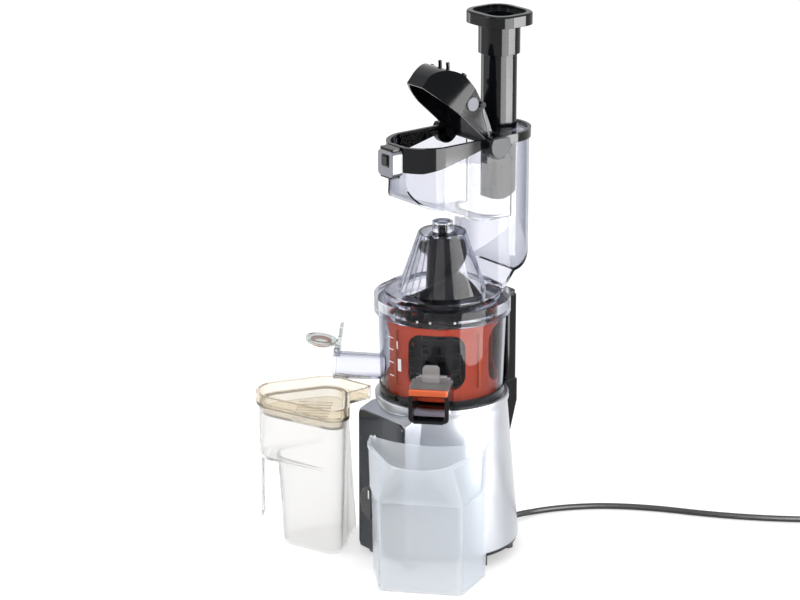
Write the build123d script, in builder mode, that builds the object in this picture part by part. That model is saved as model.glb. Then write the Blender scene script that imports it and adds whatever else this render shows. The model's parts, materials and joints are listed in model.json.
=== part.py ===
from build123d import *
import math
import os

os.makedirs("parts", exist_ok=True)

# Cold press juicer. Millimetres, +Z up, origin on the auger's axis at floor level.
# The control panel faces -Y, the feed tube and the mains cord are at +Y.

# ---------------------------------------------------------------- driving dimensions

# general fits
wall = 2.5                      # clear plastic wall
gap = 0.3                       # between pieces that move past each other
pin_gap = 0.08                  # radial play of a pin in its hole

# feet and bottom plate
foot_height = 12.0
foot_radius = 5.5
foot_circle = 68.0
rear_foot_angles = (88, -88, 136, -136)
front_foot_angles = (24, -24)
front_foot_circle = 70.0
plate_thickness = 4.0
plate_inset = 1.5
screw_head_radius = 3.0
screw_length = 16.0
screw_angles = (60, -60, 120, -120)
boss_radius = 5.5
boss_inset = 8.5                # screw axes inside the housing's foot
boss_height = 24.0

# base housing
housing_wall = 2.6
base_bottom_radius = 78.5
base_top_radius = 66.0
housing_height = 144.0
block_half_width = 37.0
block_front = 76.5
block_skirt = 9.5               # how far the front block reaches below the round edge
block_skirt_depth = 16.0
block_top_drop = 6.0
block_top_slope = 16.0

# bowl seat on top of the base
collar_height = 8.0
collar_overhang = 1.6           # collar beyond the housing's top edge
collar_bore = 58.0

# front panel and knob
panel_width = 70.0
panel_top_margin = 4.5          # bare front above and below the panel
panel_foot_margin = 2.0
panel_thickness = 2.5
panel_corner = 6.0
knob_radius = 18.0
knob_height = 11.0
knob_above_floor = 66.0
knob_shaft_radius = 3.0
knob_turn = 45.0
switch_size = 24.0
switch_depth = 12.0
board_width = 56.0
board_top_margin = 12.0
board_switch_gap = 5.5
board_thickness = 1.6

# motor and gearbox
motor_radius = 42.0
motor_height = 56.0
motor_seat_height = 6.0
motor_wall = 2.0
rotor_radius = 27.0
motor_shaft_radius = 4.0
fan_radius = 34.0
fan_height = 7.0
tray_radius = 59.0
tray_thickness = 4.0
post_radius = 4.0
post_circle = 56.0
gear_module = 1.0
motor_teeth = 12
wheel_teeth = 42
stage_teeth = 14
drive_teeth = 56
gear_width = 9.0
stage_pin_radius = 3.0
shaft_radius = 7.0
bearing_outer = 12.0
bearing_height = 7.0
hex_across_flats = 14.0
hex_rise = 36.0

# rear column
column_half_width = 18.0
column_gap = 1.0                # between the lid's flange and the column
column_depth = 14.5
column_rise = 95.0
column_wall = 2.5
column_low_end = 100.0
column_cap_height = 5.0
interlock_switch_size = 12.0

# juice bowl
bowl_bottom_radius = 61.5
bowl_flare = 3.0                # the rim is this much wider than the foot
bowl_height = 90.0
bowl_floor = 4.0
hub_radius = 12.5
hub_bore = 9.2
hub_rise = 12.0
foot_ring_height = 9.0
foot_ring_thickness = 1.4
foot_ring_fit = 0.15

# spin gear between auger and brush cage
spin_module = 1.5
sun_teeth = 24
idler_teeth = 14
spin_gear_width = 6.0
spin_pin_radius = 2.5

# brush cage, strainer, auger
cage_clearance = 2.5            # between the cage and the bowl's wall, at the foot
cage_wall = 3.0
cage_posts = 4
cage_post_angle = 30.0
cage_ring_height = 6.0
cage_window_corner = 14.0
wiper_thickness = 2.0
strainer_clearance = 6.0        # between the strainer and the cage, at the rim
strainer_flare = 2.5
strainer_wall = 1.6
strainer_leg_radius = 3.5
strainer_legs = 3
slot_columns = 18
slot_rows = 4
auger_neck_radius = 18.0
auger_core_bottom = 27.0
auger_core_mid = 18.0
auger_core_top = 15.5
auger_pin_radius = 4.5
flight_thickness = 5.0
flight_clearance = 0.9

# juice spout and its cap
spout_angle = -45.0
spout_rise = 22.0               # axis above the bowl's underside
spout_root_radius = 13.0
spout_mouth_radius = 14.3
spout_wall = 2.0
spout_reach = 109.5
cap_radius = 15.5
cap_thickness = 4.0
cap_open_angle = 98.0
cap_tab_length = 22.0
cap_tab_width = 13.0
cap_tab_thickness = 3.0
cap_pin_radius = 1.6

# pulp outlet
outlet_angle = 44.0
outlet_width = 38.0
outlet_height = 30.0
chute_reach = 95.0
frame_depth = 11.0
frame_wall = 3.2
gate_thickness = 2.6
gate_open_angle = 45.0
gate_tab_width = 17.0
gate_tab_height = 20.0
gate_seal_thickness = 3.0
gate_hinge_radius = 70.0
gate_pin_radius = 1.6

# lid with tower and feed tube
flange_overhang = 4.0           # beyond the bowl's rim
flange_height = 16.0
flange_lap = 4.0                # how far the lid's skirt hangs over the bowl's rim
step_inset = 6.5                # from the bowl's rim to the raised ring
step_height = 6.0
tower_shelf = 14.5              # width of the ring round the tower's foot
tower_top_radius = 23.5
tower_height = 59.0
stub_radius = 10.3
stub_height = 10.0
tube_radius = 36.0
tube_y = 64.5
tube_corner = 30.0
boot_radius = 41.3              # rounding of the tube's rear bottom corner
boot_arc_rise = 61.0            # centre of that rounding above the flange
boot_start_angle = 6.7
boot_ramp = 22.0
boot_ramp_slope = 50.5
lid_turn = 25.0

# feed scoop, rim, hood
scoop_height = 84.0
rim_height = 9.0
rim_wall = 1.8
scoop_front = 58.0
scoop_nose_half = 12.0
scoop_nose_y = 27.0
scoop_shoulder = 0.76           # share of the half width where the nose's curve bulges
scoop_shoulder_y = 46.0
scoop_corner = 28.0
scoop_over_stub = 3.0
scoop_lap = 2.0                 # how far the ramp ends above the scoop's floor
scoop_slope = 19.6              # degrees that the ramp falls towards the tube
scoop_slope_end_y = 16.0
rim_skirt = 17.0
bracket_radius = 13.5
bracket_thickness = 7.0
hinge_cap_radius = 12.0
hinge_cap_thickness = 2.0
pivot_y = 36.0
pivot_below_top = 7.0
hood_open_angle = 36.0
hood_rest_tilt = 6.0            # slope of the closed hood's edge, hinge to tip
hood_length = 96.0
hood_back = 6.0                 # how far the hood reaches behind its hinge
hood_edge = 1.0
hood_mid = (30.0, 19.5)         # points of the arched top: along the hood, and up
hood_crest = (70.0, 33.0)
hood_brow = (88.5, 25.0)
hood_narrow_start = 56.0        # the plan narrows from here to the nose
hood_narrow_mid = (76.0, 0.74)
hood_wall = 2.2
hood_gap = 0.8
hood_pin_radius = 3.0
hood_pin_lug = 3.4
hood_disc_radius = 6.8
hood_disc_place = (48.5, 15.5)
hood_disc_thickness = 1.5
hood_knob_radius = 3.4
hood_knob_place = (39.0, 21.0)
hood_knob_length = 3.5
stay_end = 8.0
stay_thickness = 0.5
peg_place = (75.5, 31.6)
peg_radius = 1.8
peg_spread = 6.0
peg_length = 8.0
crest_lug_side = 24.0
crest_lug_size = 4.0
crest_lug_rise = 3.0

# front latch
latch_half_width = 12.0
latch_depth = 12.0
latch_height = 26.0
button_width = 8.0
button_height = 9.0
button_travel = 2.0
button_stem = 5.7
button_below_latch = 10.0
latch_below_top = 3.0
latch_cap_height = 2.5

# pusher
pusher_y = 71.0
pusher_size = 32.5
pusher_corner = 12.0
pusher_drop = 72.0              # the raised pusher's lower end below the hopper's top
pusher_length = 176.5
sleeve_size = 38.5
sleeve_height = 30.0
plate_x = 62.0
plate_y = 55.0
plate_height = 12.0
plate_dish = 4.0
pusher_wall = 2.5
guide_thickness = 3.0
guide_collar = 3.0              # wall of the guide's collar round the pusher
guide_front = 8.5               # the guide's front edge behind the hood's hinge

# juice jug, in its own directions: along the spout, and across it
jug_height = 148.0
jug_wall = 2.0
jug_clear = 93.0                # radius round the auger axis that the jug keeps clear
jug_floor = 2.5
# rounds that the jug's plan wraps: along, across, radius (far, front, rear)
jug_rounds_bottom = ((140.0, 2.0, 22.0), (110.0, 29.0, 12.0), (108.0, -24.0, 17.0))
jug_rounds_top = ((147.0, 0.0, 25.0), (105.0, 41.0, 13.5), (122.0, -26.0, 22.0))
jug_root = (161.0, -1.0, 26.0)  # far round of the upper part, which the handle hangs from
jug_root_z = 92.0
jug_rim_height = 12.0
jug_rim_lip = 3.0
jug_tray_depth = 22.0
jug_tray_gap = 0.8
beak_tip = 75.7                 # distance of the beak's tip from the auger's axis
beak_tip_half = 3.0
beak_root = 108.0
beak_side = 22.5
beak_rear_half = 24.0
beak_front_half = 36.0
froth_slots = 7
froth_slot_length = 34.0
froth_slot_middle = 132.0
strap_half_width = 12.0
strap_thickness = 11.0
strap_tip = 4.0
strap_taper = 22.0
strap_low = 26.0

# pulp container
pulp_angle = 42.0
pulp_height = 142.0
pulp_wall = 2.0
pulp_clear = 95.5
pulp_ledge = 97.0
pulp_near = 62.0
pulp_back_half = 61.0
pulp_front_half = 41.0
pulp_front = 131.5
pulp_front_lean = 5.0           # how much further out the front stands at the ledge
pulp_corner = 7.0
# upper part: along, and across or radius, at the ledge and at the rim
pulp_upper_near = (58.5, 59.5)
pulp_upper_shoulder = (56.0, 58.0)
pulp_shoulder_along = 100.0
pulp_upper_front = (142.0, 165.5)
pulp_upper_front_half = (42.5, 24.0)
pulp_upper_corner = (10.0, 34.0)
pulp_lip = 1.2
pulp_lip_height = 3.0

# mains cord: a hand-laid route on the floor, then a coil of two turns beside and two above
cord_radius = 3.2
cord_route = (
    (0, 92, 7.0),
    (0, 106, 7.0),
    (-3, 121, 4.0),
    (0, 139, 3.5),
    (10, 164, 3.5),
    (30, 197, 3.5),
    (67, 233, 3.5),
    (119, 268, 3.5),
    (167, 310, 3.5),
    (206, 355, 3.5),
)
relief_length = 22.0
relief_radius = 4.6
relief_block = 9.0
coil_turn_radius = 35.0
coil_entry = 16.0               # straight stretch between the lead and the first turn
coil_end_angle = 75.0
plug_start = 20.0
plug_relief_length = 26.0
plug_body_length = 36.0
plug_width = 35.0
plug_height = 13.7
pin_length = 19.0
pin_radius = 2.0
pin_spread = 9.3


# ---------------------------------------------------------------- worked-out places

plate_bottom = foot_height
housing_bottom = plate_bottom + plate_thickness
housing_top = housing_bottom + housing_height
collar_bottom = housing_top
seat_z = collar_bottom + collar_height
collar_radius = base_top_radius + collar_overhang
screw_circle = base_bottom_radius - boss_inset
panel_bottom = housing_bottom - block_skirt + panel_foot_margin
panel_height = housing_top - panel_top_margin - panel_bottom
panel_middle = panel_bottom + panel_height / 2
board_bottom = knob_above_floor + switch_size / 2 + board_switch_gap
board_height = panel_bottom + panel_height - board_top_margin - board_bottom
board_middle = board_bottom + board_height / 2

motor_bottom = housing_bottom + motor_seat_height
motor_top = motor_bottom + motor_height
tray_bottom = motor_top
tray_top = tray_bottom + tray_thickness
wheel_bottom = tray_top + 2.0
stage_bottom = wheel_bottom + gear_width + 1.5
gear_top = stage_bottom + gear_width
cover_bottom = gear_top + 2.0
cover_top = cover_bottom + tray_thickness
stage_y = gear_module * (drive_teeth + stage_teeth) / 2
motor_y = stage_y - gear_module * (wheel_teeth + motor_teeth) / 2
shaft_top = seat_z - 4.0
hex_top = shaft_top + hex_rise

bowl_bottom = seat_z
bowl_top_radius = bowl_bottom_radius + bowl_flare
bowl_top = bowl_bottom + bowl_height
bowl_inside = bowl_bottom + bowl_floor
hub_top = bowl_inside + hub_rise
spin_bottom = bowl_inside + 2.0
spin_top = spin_bottom + spin_gear_width
idler_y = spin_module * (sun_teeth + idler_teeth) / 2
ring_teeth = sun_teeth + 2 * idler_teeth
ring_pitch = spin_module * ring_teeth / 2
strainer_bottom = spin_top + 2.0
strainer_floor = strainer_bottom + strainer_wall
strainer_top = bowl_top - 9.0
cage_top = strainer_top
cage_bottom = spin_bottom
cage_outer = bowl_bottom_radius - wall - cage_clearance
cage_inner = cage_outer - cage_wall
strainer_top_radius = cage_inner - strainer_clearance
strainer_bottom_radius = strainer_top_radius - strainer_flare

flange_bottom = bowl_top - flange_lap
lid_under = bowl_top + gap
flange_top = flange_bottom + flange_height
flange_radius = bowl_top_radius + flange_overhang
step_radius = bowl_top_radius - step_inset
tower_base_radius = step_radius - tower_shelf
column_front = flange_radius + column_gap
column_back = column_front + column_depth
boot_arc_z = flange_top + boot_arc_rise
step_top = flange_top + step_height
tower_top = step_top + tower_height
stub_top = tower_top + stub_height
scoop_floor_z = stub_top + scoop_over_stub
hopper_top = scoop_floor_z + scoop_height
auger_bottom = strainer_floor + 1.0
auger_top = tower_top - wall - 1.5

spout_z = bowl_bottom + spout_rise
outlet_floor = bowl_inside
outlet_z = outlet_floor - wall + outlet_height / 2
outlet_top = outlet_z + outlet_height / 2
pivot_z = hopper_top - pivot_below_top
pusher_bottom = hopper_top - pusher_drop
jug_tray_bottom = jug_height + jug_rim_height - jug_tray_depth


# ---------------------------------------------------------------- helpers

def direction(angle):
    """Unit vector in plan, measured from the front (-Y) towards +X."""
    turn = math.radians(angle)
    return Vector(math.sin(turn), -math.cos(turn), 0)


def across(angle):
    """Unit vector in plan, square to direction(angle)."""
    turn = math.radians(angle)
    return Vector(math.cos(turn), math.sin(turn), 0)


def facing(angle, distance, z):
    """Upright plane that looks outwards: local X runs across, local Y runs up."""
    return Plane(origin=direction(angle) * distance + Vector(0, 0, z), x_dir=across(angle),
                 z_dir=direction(angle))


def level(angle, z):
    """Level plane on the auger's axis: local -Y runs out along the angle."""
    return Plane(origin=(0, 0, z), x_dir=across(angle), z_dir=(0, 0, 1))


def polar_point(radius, angle):
    return (radius * math.cos(angle), radius * math.sin(angle))


def gear_points(teeth, module, phase, tip, root, tip_half, root_half, centre_y=0.0):
    """Corners of a straight-sided gear outline with a tooth centred at the phase angle."""
    pitch_radius = module * teeth / 2
    step = 2 * math.pi / teeth
    points = []
    for tooth in range(teeth):
        middle = phase + tooth * step
        for radius, offset in (
            (pitch_radius - root * module, -root_half),
            (pitch_radius + tip * module, -tip_half),
            (pitch_radius + tip * module, tip_half),
            (pitch_radius - root * module, root_half),
        ):
            x, y = polar_point(radius, middle + offset * step)
            points.append((x, y + centre_y))
    return points


def gear_outline(teeth, module, phase, centre_y=0.0):
    """Outside teeth, a little thin so that the mesh runs with backlash."""
    return gear_points(teeth, module, phase, 0.85, 1.15, 0.11, 0.33, centre_y)


def ring_gear_hole(teeth, module, phase):
    """Hole of an inside gear; each lobe of the hole takes one tooth of the mating gear."""
    return gear_points(teeth, module, phase, 1.15, 0.85, 0.17, 0.39)


def radius_at(z):
    """Outside radius of the round part of the base housing."""
    share = (z - housing_bottom) / housing_height
    return base_bottom_radius + (base_top_radius - base_bottom_radius) * share


def housing_form(inset, bottom, top):
    """Round tapered body with the flat-fronted block, drawn in by the inset."""
    front = -(block_front - inset)
    block_top = housing_top - inset
    skirt_low = housing_bottom - block_skirt + inset
    with BuildPart() as form:
        with BuildSketch(Plane.XY.offset(bottom)):
            Circle(radius_at(bottom) - inset)
        with BuildSketch(Plane.XY.offset(top)):
            Circle(radius_at(top) - inset)
        loft()
        # the round body is flat where the block's front crosses it
        with BuildSketch(Plane.XY.offset(bottom)):
            with Locations((0, front - base_bottom_radius / 2)):
                Rectangle(2 * base_bottom_radius, base_bottom_radius)
        extrude(amount=top - bottom, mode=Mode.SUBTRACT)
        with BuildSketch(Plane.YZ):
            with BuildLine():
                Polyline(
                    (0, bottom),
                    (front + block_skirt_depth - 2 * inset, bottom),
                    (front + block_skirt_depth - 2 * inset, skirt_low),
                    (front, skirt_low),
                    (front, block_top - block_top_drop),
                    (front + block_top_slope, block_top),
                    (0, block_top),
                    close=True,
                )
            make_face()
        extrude(amount=block_half_width - inset, both=True)
    return form.part


def tube_outline(inset):
    """Plan of the feed tube: round at the rear, softly squared at the front."""
    half = tube_radius - inset
    front = tube_y - half
    corner = tube_corner - inset
    flat = half - corner
    shy = corner * (1 - math.cos(math.pi / 4))
    with BuildSketch(Plane.XY) as plan:
        with BuildLine():
            Line((-flat, front), (flat, front))
            ThreePointArc((flat, front), (half - shy, front + shy), (half, front + corner))
            Line((half, front + corner), (half, tube_y))
            ThreePointArc((half, tube_y), (0, tube_y + half), (-half, tube_y))
            Line((-half, tube_y), (-half, front + corner))
            ThreePointArc((-half, front + corner), (-half + shy, front + shy), (-flat, front))
        make_face()
    return plan.sketch


def hopper_outline(grow):
    """Plan of the whole hopper mouth: nose at the front, straight sides, round rear."""
    half = tube_radius + grow
    front = -(scoop_front + grow)
    shoulder = half * scoop_shoulder
    shoulder_y = -(scoop_shoulder_y + grow)
    with BuildSketch(Plane.XY) as plan:
        with BuildLine():
            Line((-scoop_nose_half, front), (scoop_nose_half, front))
            ThreePointArc((scoop_nose_half, front), (shoulder, shoulder_y), (half, -scoop_nose_y))
            Line((half, -scoop_nose_y), (half, tube_y))
            ThreePointArc((half, tube_y), (0, tube_y + half), (-half, tube_y))
            Line((-half, tube_y), (-half, -scoop_nose_y))
            ThreePointArc((-half, -scoop_nose_y), (-shoulder, shoulder_y), (-scoop_nose_half, front))
        make_face()
    return plan.sketch


# ---------------------------------------------------------------- base housing and what it stands on

def base_housing_part():
    with BuildPart() as housing:
        add(housing_form(0, housing_bottom, housing_top))
        add(housing_form(housing_wall, housing_bottom, housing_top - housing_wall), mode=Mode.SUBTRACT)
        # bosses for the bottom screws, joined to the wall
        with BuildSketch(Plane.XY.offset(housing_bottom)):
            for angle in screw_angles:
                with Locations(direction(angle) * screw_circle):
                    Circle(boss_radius)
        extrude(amount=boss_height)
        with BuildSketch(Plane.XY.offset(housing_bottom)):
            for angle in screw_angles:
                with Locations(direction(angle) * screw_circle):
                    Circle(screw_head_radius * 0.6)
        extrude(amount=screw_length - plate_thickness, mode=Mode.SUBTRACT)
        # posts that carry the gearbox tray from the top
        with BuildSketch(Plane.XY.offset(tray_top)):
            with PolarLocations(post_circle, 4, start_angle=45):
                Circle(post_radius)
        extrude(amount=housing_top - tray_top - housing_wall / 2)
        # bearing seat in the top
        with BuildSketch(Plane.XY.offset(housing_top - housing_wall)):
            Circle(bearing_outer)
        extrude(amount=housing_wall, mode=Mode.SUBTRACT)
        # knob shaft hole through the front wall
        with BuildSketch(Plane.XZ.offset(block_front)):
            with Locations((0, knob_above_floor)):
                Circle(knob_shaft_radius + gap)
        extrude(amount=-housing_wall * 2, mode=Mode.SUBTRACT)
    return housing.part


with BuildPart() as base_housing:
    add(base_housing_part())

with BuildPart() as bottom_plate:
    with BuildSketch(Plane.XY.offset(plate_bottom)):
        Circle(base_bottom_radius - plate_inset)
        # stops short of the block's own skirt, which hangs lower than the plate
        with Locations((0, -block_front + block_skirt_depth + gap - block_front / 2)):
            Rectangle(2 * (block_half_width + gap), block_front, mode=Mode.SUBTRACT)
    extrude(amount=plate_thickness)
    # screw holes and cooling slots
    with BuildSketch(Plane.XY.offset(plate_bottom)):
        for angle in screw_angles:
            with Locations(direction(angle) * screw_circle):
                Circle(screw_head_radius * 0.6)
        with PolarLocations(24, 10):
            SlotOverall(16, 3)
    extrude(amount=plate_thickness, mode=Mode.SUBTRACT)
    # seat that the motor can stands on
    with BuildSketch(Plane.XY.offset(housing_bottom)):
        with Locations((0, motor_y)):
            Circle(motor_radius)
            Circle(motor_radius - 5, mode=Mode.SUBTRACT)
    extrude(amount=motor_seat_height)

with BuildPart() as feet:
    for angle in rear_foot_angles:
        with BuildSketch(Plane.XY):
            with Locations(direction(angle) * foot_circle):
                Circle(foot_radius)
        extrude(amount=foot_height)
    for angle in front_foot_angles:
        with BuildSketch(Plane.XY):
            with Locations(direction(angle) * front_foot_circle):
                Circle(foot_radius)
        extrude(amount=housing_bottom - block_skirt)

with BuildPart() as bottom_screws:
    for angle in screw_angles:
        with BuildSketch(Plane.XY.offset(plate_bottom - 2)):
            with Locations(direction(angle) * screw_circle):
                Circle(screw_head_radius)
        extrude(amount=2)
        with BuildSketch(Plane.XY.offset(plate_bottom)):
            with Locations(direction(angle) * screw_circle):
                Circle(screw_head_radius * 0.6)
        extrude(amount=screw_length)

with BuildPart() as bowl_collar:
    with BuildSketch(Plane.XY.offset(collar_bottom)):
        Circle(collar_radius - 1.0)
        Circle(shaft_radius + pin_gap + 1.5, mode=Mode.SUBTRACT)
    extrude(amount=collar_height)
    with BuildSketch(Plane.XY.offset(collar_bottom + 3)):
        Circle(collar_radius)
        Circle(collar_radius - 2.0, mode=Mode.SUBTRACT)
    extrude(amount=collar_height - 4)
    # well that the bowl's hub ribs stand in
    with BuildSketch(Plane.XY.offset(seat_z - 3)):
        Circle(collar_bore)
        Circle(collar_bore - 34, mode=Mode.SUBTRACT)
    extrude(amount=3, mode=Mode.SUBTRACT)

with BuildPart() as front_panel:
    with BuildSketch(Plane.XZ.offset(block_front)):
        with Locations((0, panel_middle)):
            RectangleRounded(panel_width, panel_height, panel_corner)
        with Locations((0, knob_above_floor)):
            Circle(knob_shaft_radius + gap, mode=Mode.SUBTRACT)
    extrude(amount=panel_thickness)

with BuildPart() as knob_bezel:
    with BuildSketch(Plane.XZ.offset(block_front + panel_thickness)):
        with Locations((0, knob_above_floor)):
            Circle(knob_radius + 2.2)
            Circle(knob_radius - 2.0, mode=Mode.SUBTRACT)
    extrude(amount=1.4)

with BuildPart() as control_knob:
    with BuildSketch(Plane.XZ.offset(block_front + panel_thickness + 1.4 + gap)):
        with Locations((0, knob_above_floor)):
            Circle(knob_radius)
    extrude(amount=knob_height)
    fillet(control_knob.edges().filter_by(GeomType.CIRCLE).sort_by(Axis.Y)[0], 1.6)
    # grip bar across the knob's face
    with BuildSketch(Plane.XZ.offset(block_front + panel_thickness + knob_height)):
        with Locations((0, knob_above_floor)):
            SlotOverall(2 * knob_radius - 4, 7, rotation=90)
    extrude(amount=4.0)

with BuildPart() as knob_shaft:
    with BuildSketch(Plane.XZ.offset(block_front - housing_wall - switch_depth / 2)):
        with Locations((0, knob_above_floor)):
            Circle(knob_shaft_radius)
    extrude(amount=housing_wall + switch_depth / 2 + panel_thickness + 1.4 + gap)

with BuildPart() as rotary_switch:
    with BuildSketch(Plane.XZ.offset(block_front - housing_wall - switch_depth)):
        with Locations((0, knob_above_floor)):
            RectangleRounded(switch_size, switch_size, 2)
    extrude(amount=switch_depth)
    with BuildSketch(Plane.XZ.offset(block_front - housing_wall - switch_depth / 2 - 1)):
        with Locations((0, knob_above_floor)):
            Circle(knob_shaft_radius + gap)
    extrude(amount=switch_depth, mode=Mode.SUBTRACT)

with BuildPart() as control_board:
    with BuildSketch(Plane.XZ.offset(block_front - housing_wall - board_thickness)):
        with Locations((0, board_middle)):
            Rectangle(board_width, board_height)
    extrude(amount=board_thickness)
    with BuildSketch(Plane.XZ.offset(block_front - housing_wall - board_thickness - 5)):
        with Locations((0, board_middle)):
            with GridLocations(18, 20, 3, 2):
                Rectangle(9, 11)
    extrude(amount=5)


# ---------------------------------------------------------------- rear column

with BuildPart() as column_base:
    with BuildSketch(Plane.YZ):
        with BuildLine():
            Polyline(
                (column_front - 14, seat_z - 1),
                (column_back, seat_z - 1),
                (column_back, seat_z - 24),
                (radius_at(column_low_end) + 1, column_low_end),
                (column_front - 14, column_low_end),
                close=True,
            )
        make_face()
    extrude(amount=column_half_width, both=True)
    add(housing_form(0, housing_bottom, housing_top), mode=Mode.SUBTRACT)
    with BuildSketch(Plane.XY.offset(collar_bottom)):
        Circle(collar_radius + gap)
    extrude(amount=collar_height, mode=Mode.SUBTRACT)
    # pocket for the interlock switch
    with BuildSketch(Plane.XY.offset(seat_z - 1 - 14)):
        with Locations((0, (column_front + column_back) / 2)):
            Rectangle(interlock_switch_size + 8, column_back - column_front - 2 * column_wall)
    extrude(amount=14, mode=Mode.SUBTRACT)

with BuildPart() as interlock_post:
    with BuildSketch(Plane.XY.offset(seat_z - 1)):
        with Locations((0, (column_front + column_back) / 2)):
            RectangleRounded(2 * column_half_width, column_back - column_front, 4)
    extrude(amount=column_rise - column_cap_height)
    with BuildSketch(Plane.XY.offset(seat_z - 1)):
        with Locations((0, (column_front + column_back) / 2)):
            RectangleRounded(2 * (column_half_width - column_wall), column_back - column_front - 2 * column_wall, 2)
    extrude(amount=column_rise - column_cap_height - column_wall, mode=Mode.SUBTRACT)

with BuildPart() as column_cap:
    with BuildSketch(Plane.XY.offset(seat_z - 1 + column_rise - column_cap_height)):
        with Locations((0, (column_front + column_back) / 2)):
            RectangleRounded(2 * column_half_width - 2, column_back - column_front - 2, 4)
    extrude(amount=column_cap_height)
    fillet(column_cap.faces().sort_by(Axis.Z)[-1].edges(), 1.5)

with BuildPart() as interlock_switch:
    with BuildSketch(Plane.XY.offset(seat_z - 1 - 14)):
        with Locations((0, (column_front + column_back) / 2)):
            Rectangle(interlock_switch_size, column_back - column_front - 2 * column_wall)
    extrude(amount=12)


# ---------------------------------------------------------------- motor and gearbox

with BuildPart() as motor_can:
    with BuildSketch(Plane.XY.offset(motor_bottom)):
        with Locations((0, motor_y)):
            Circle(motor_radius)
    extrude(amount=motor_height)
    with BuildSketch(Plane.XY.offset(motor_bottom + motor_wall)):
        with Locations((0, motor_y)):
            Circle(motor_radius - motor_wall)
    extrude(amount=motor_height - 2 * motor_wall, mode=Mode.SUBTRACT)
    # stator stack inside the can
    with BuildSketch(Plane.XY.offset(motor_bottom + motor_wall + fan_height + 6)):
        with Locations((0, motor_y)):
            Circle(motor_radius - motor_wall)
            Circle(rotor_radius + 1.0, mode=Mode.SUBTRACT)
    extrude(amount=28)
    # shaft holes, and air holes in the bottom
    with BuildSketch(Plane.XY.offset(motor_bottom)):
        with Locations((0, motor_y)):
            Circle(motor_shaft_radius + pin_gap)
    extrude(amount=motor_height, mode=Mode.SUBTRACT)
    with BuildSketch(Plane.XY.offset(motor_bottom)):
        with Locations((0, motor_y)):
            with PolarLocations(22, 6):
                Circle(6)
    extrude(amount=motor_wall, mode=Mode.SUBTRACT)

with BuildPart() as motor_rotor:
    with BuildSketch(Plane.XY.offset(motor_bottom)):
        with Locations((0, motor_y)):
            Circle(motor_shaft_radius)
    extrude(amount=wheel_bottom + gear_width - motor_bottom)
    with BuildSketch(Plane.XY.offset(motor_bottom + motor_wall + fan_height + 7)):
        with Locations((0, motor_y)):
            Circle(rotor_radius)
    extrude(amount=26)

with BuildPart() as cooling_fan:
    with BuildSketch(Plane.XY.offset(motor_bottom + motor_wall + 2)):
        with Locations((0, motor_y)):
            Circle(11)
            with PolarLocations(fan_radius / 2, 9):
                Rectangle(fan_radius - 2, 2)
            Circle(motor_shaft_radius, mode=Mode.SUBTRACT)
    extrude(amount=fan_height)

with BuildPart() as motor_pinion:
    with BuildSketch(Plane.XY.offset(wheel_bottom)):
        phase = math.pi / 2 + math.pi / motor_teeth
        with BuildLine():
            Polyline(*gear_outline(motor_teeth, gear_module, phase, motor_y), close=True)
        make_face()
        with Locations((0, motor_y)):
            Circle(motor_shaft_radius, mode=Mode.SUBTRACT)
    extrude(amount=gear_width)

with BuildPart() as gearbox_tray:
    with BuildSketch(Plane.XY.offset(tray_bottom)):
        Circle(tray_radius)
        with Locations((0, motor_y)):
            Circle(motor_shaft_radius + 2, mode=Mode.SUBTRACT)
    extrude(amount=tray_thickness)

with BuildPart() as gearbox_cover:
    with BuildSketch(Plane.XY.offset(cover_bottom)):
        Circle(tray_radius - 5)
        with PolarLocations(post_circle, 4, start_angle=45):
            Circle(post_radius + gap, mode=Mode.SUBTRACT)
        Circle(bearing_outer, mode=Mode.SUBTRACT)
    extrude(amount=tray_thickness)
    # skirt that carries the cover on the tray, open where the gears pass
    with BuildSketch(Plane.XY.offset(tray_top)):
        for angle in (0, 20, -20, 70, -70):
            with Locations(direction(angle) * (tray_radius - 10)):
                Circle(3)
    extrude(amount=cover_bottom - tray_top)

with BuildPart() as stage_pin:
    with BuildSketch(Plane.XY.offset(tray_top)):
        with Locations((0, stage_y)):
            Circle(stage_pin_radius)
    extrude(amount=cover_bottom - tray_top)

with BuildPart() as stage_gear:
    with BuildSketch(Plane.XY.offset(wheel_bottom)):
        with BuildLine():
            Polyline(*gear_outline(wheel_teeth, gear_module, -math.pi / 2, stage_y), close=True)
        make_face()
        with Locations((0, stage_y)):
            Circle(stage_pin_radius + pin_gap, mode=Mode.SUBTRACT)
    extrude(amount=gear_width)
    with BuildSketch(Plane.XY.offset(wheel_bottom + gear_width)):
        phase = -math.pi / 2 + math.pi / stage_teeth
        with BuildLine():
            Polyline(*gear_outline(stage_teeth, gear_module, phase, stage_y), close=True)
        make_face()
        with Locations((0, stage_y)):
            Circle(stage_pin_radius + pin_gap, mode=Mode.SUBTRACT)
    extrude(amount=gear_width + 1.5)

with BuildPart() as drive_gear:
    with BuildSketch(Plane.XY.offset(stage_bottom)):
        with BuildLine():
            Polyline(*gear_outline(drive_teeth, gear_module, math.pi / 2), close=True)
        make_face()
        Circle(shaft_radius, mode=Mode.SUBTRACT)
        with PolarLocations(18, 6):
            Circle(5, mode=Mode.SUBTRACT)
    extrude(amount=gear_width)

with BuildPart() as drive_shaft:
    with BuildSketch(Plane.XY.offset(stage_bottom)):
        Circle(shaft_radius)
    extrude(amount=shaft_top - stage_bottom)
    with BuildSketch(Plane.XY.offset(shaft_top)):
        RegularPolygon(hex_across_flats / 2, 6, major_radius=False)
    extrude(amount=hex_rise)
    chamfer(drive_shaft.faces().sort_by(Axis.Z)[-1].edges(), 1.0)

with BuildPart() as shaft_bearings:
    for bottom in (cover_bottom - 1.5, housing_top - bearing_height):
        with BuildSketch(Plane.XY.offset(bottom)):
            Circle(bearing_outer)
            Circle(shaft_radius + pin_gap, mode=Mode.SUBTRACT)
        extrude(amount=bearing_height)


# ---------------------------------------------------------------- juice bowl

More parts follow.
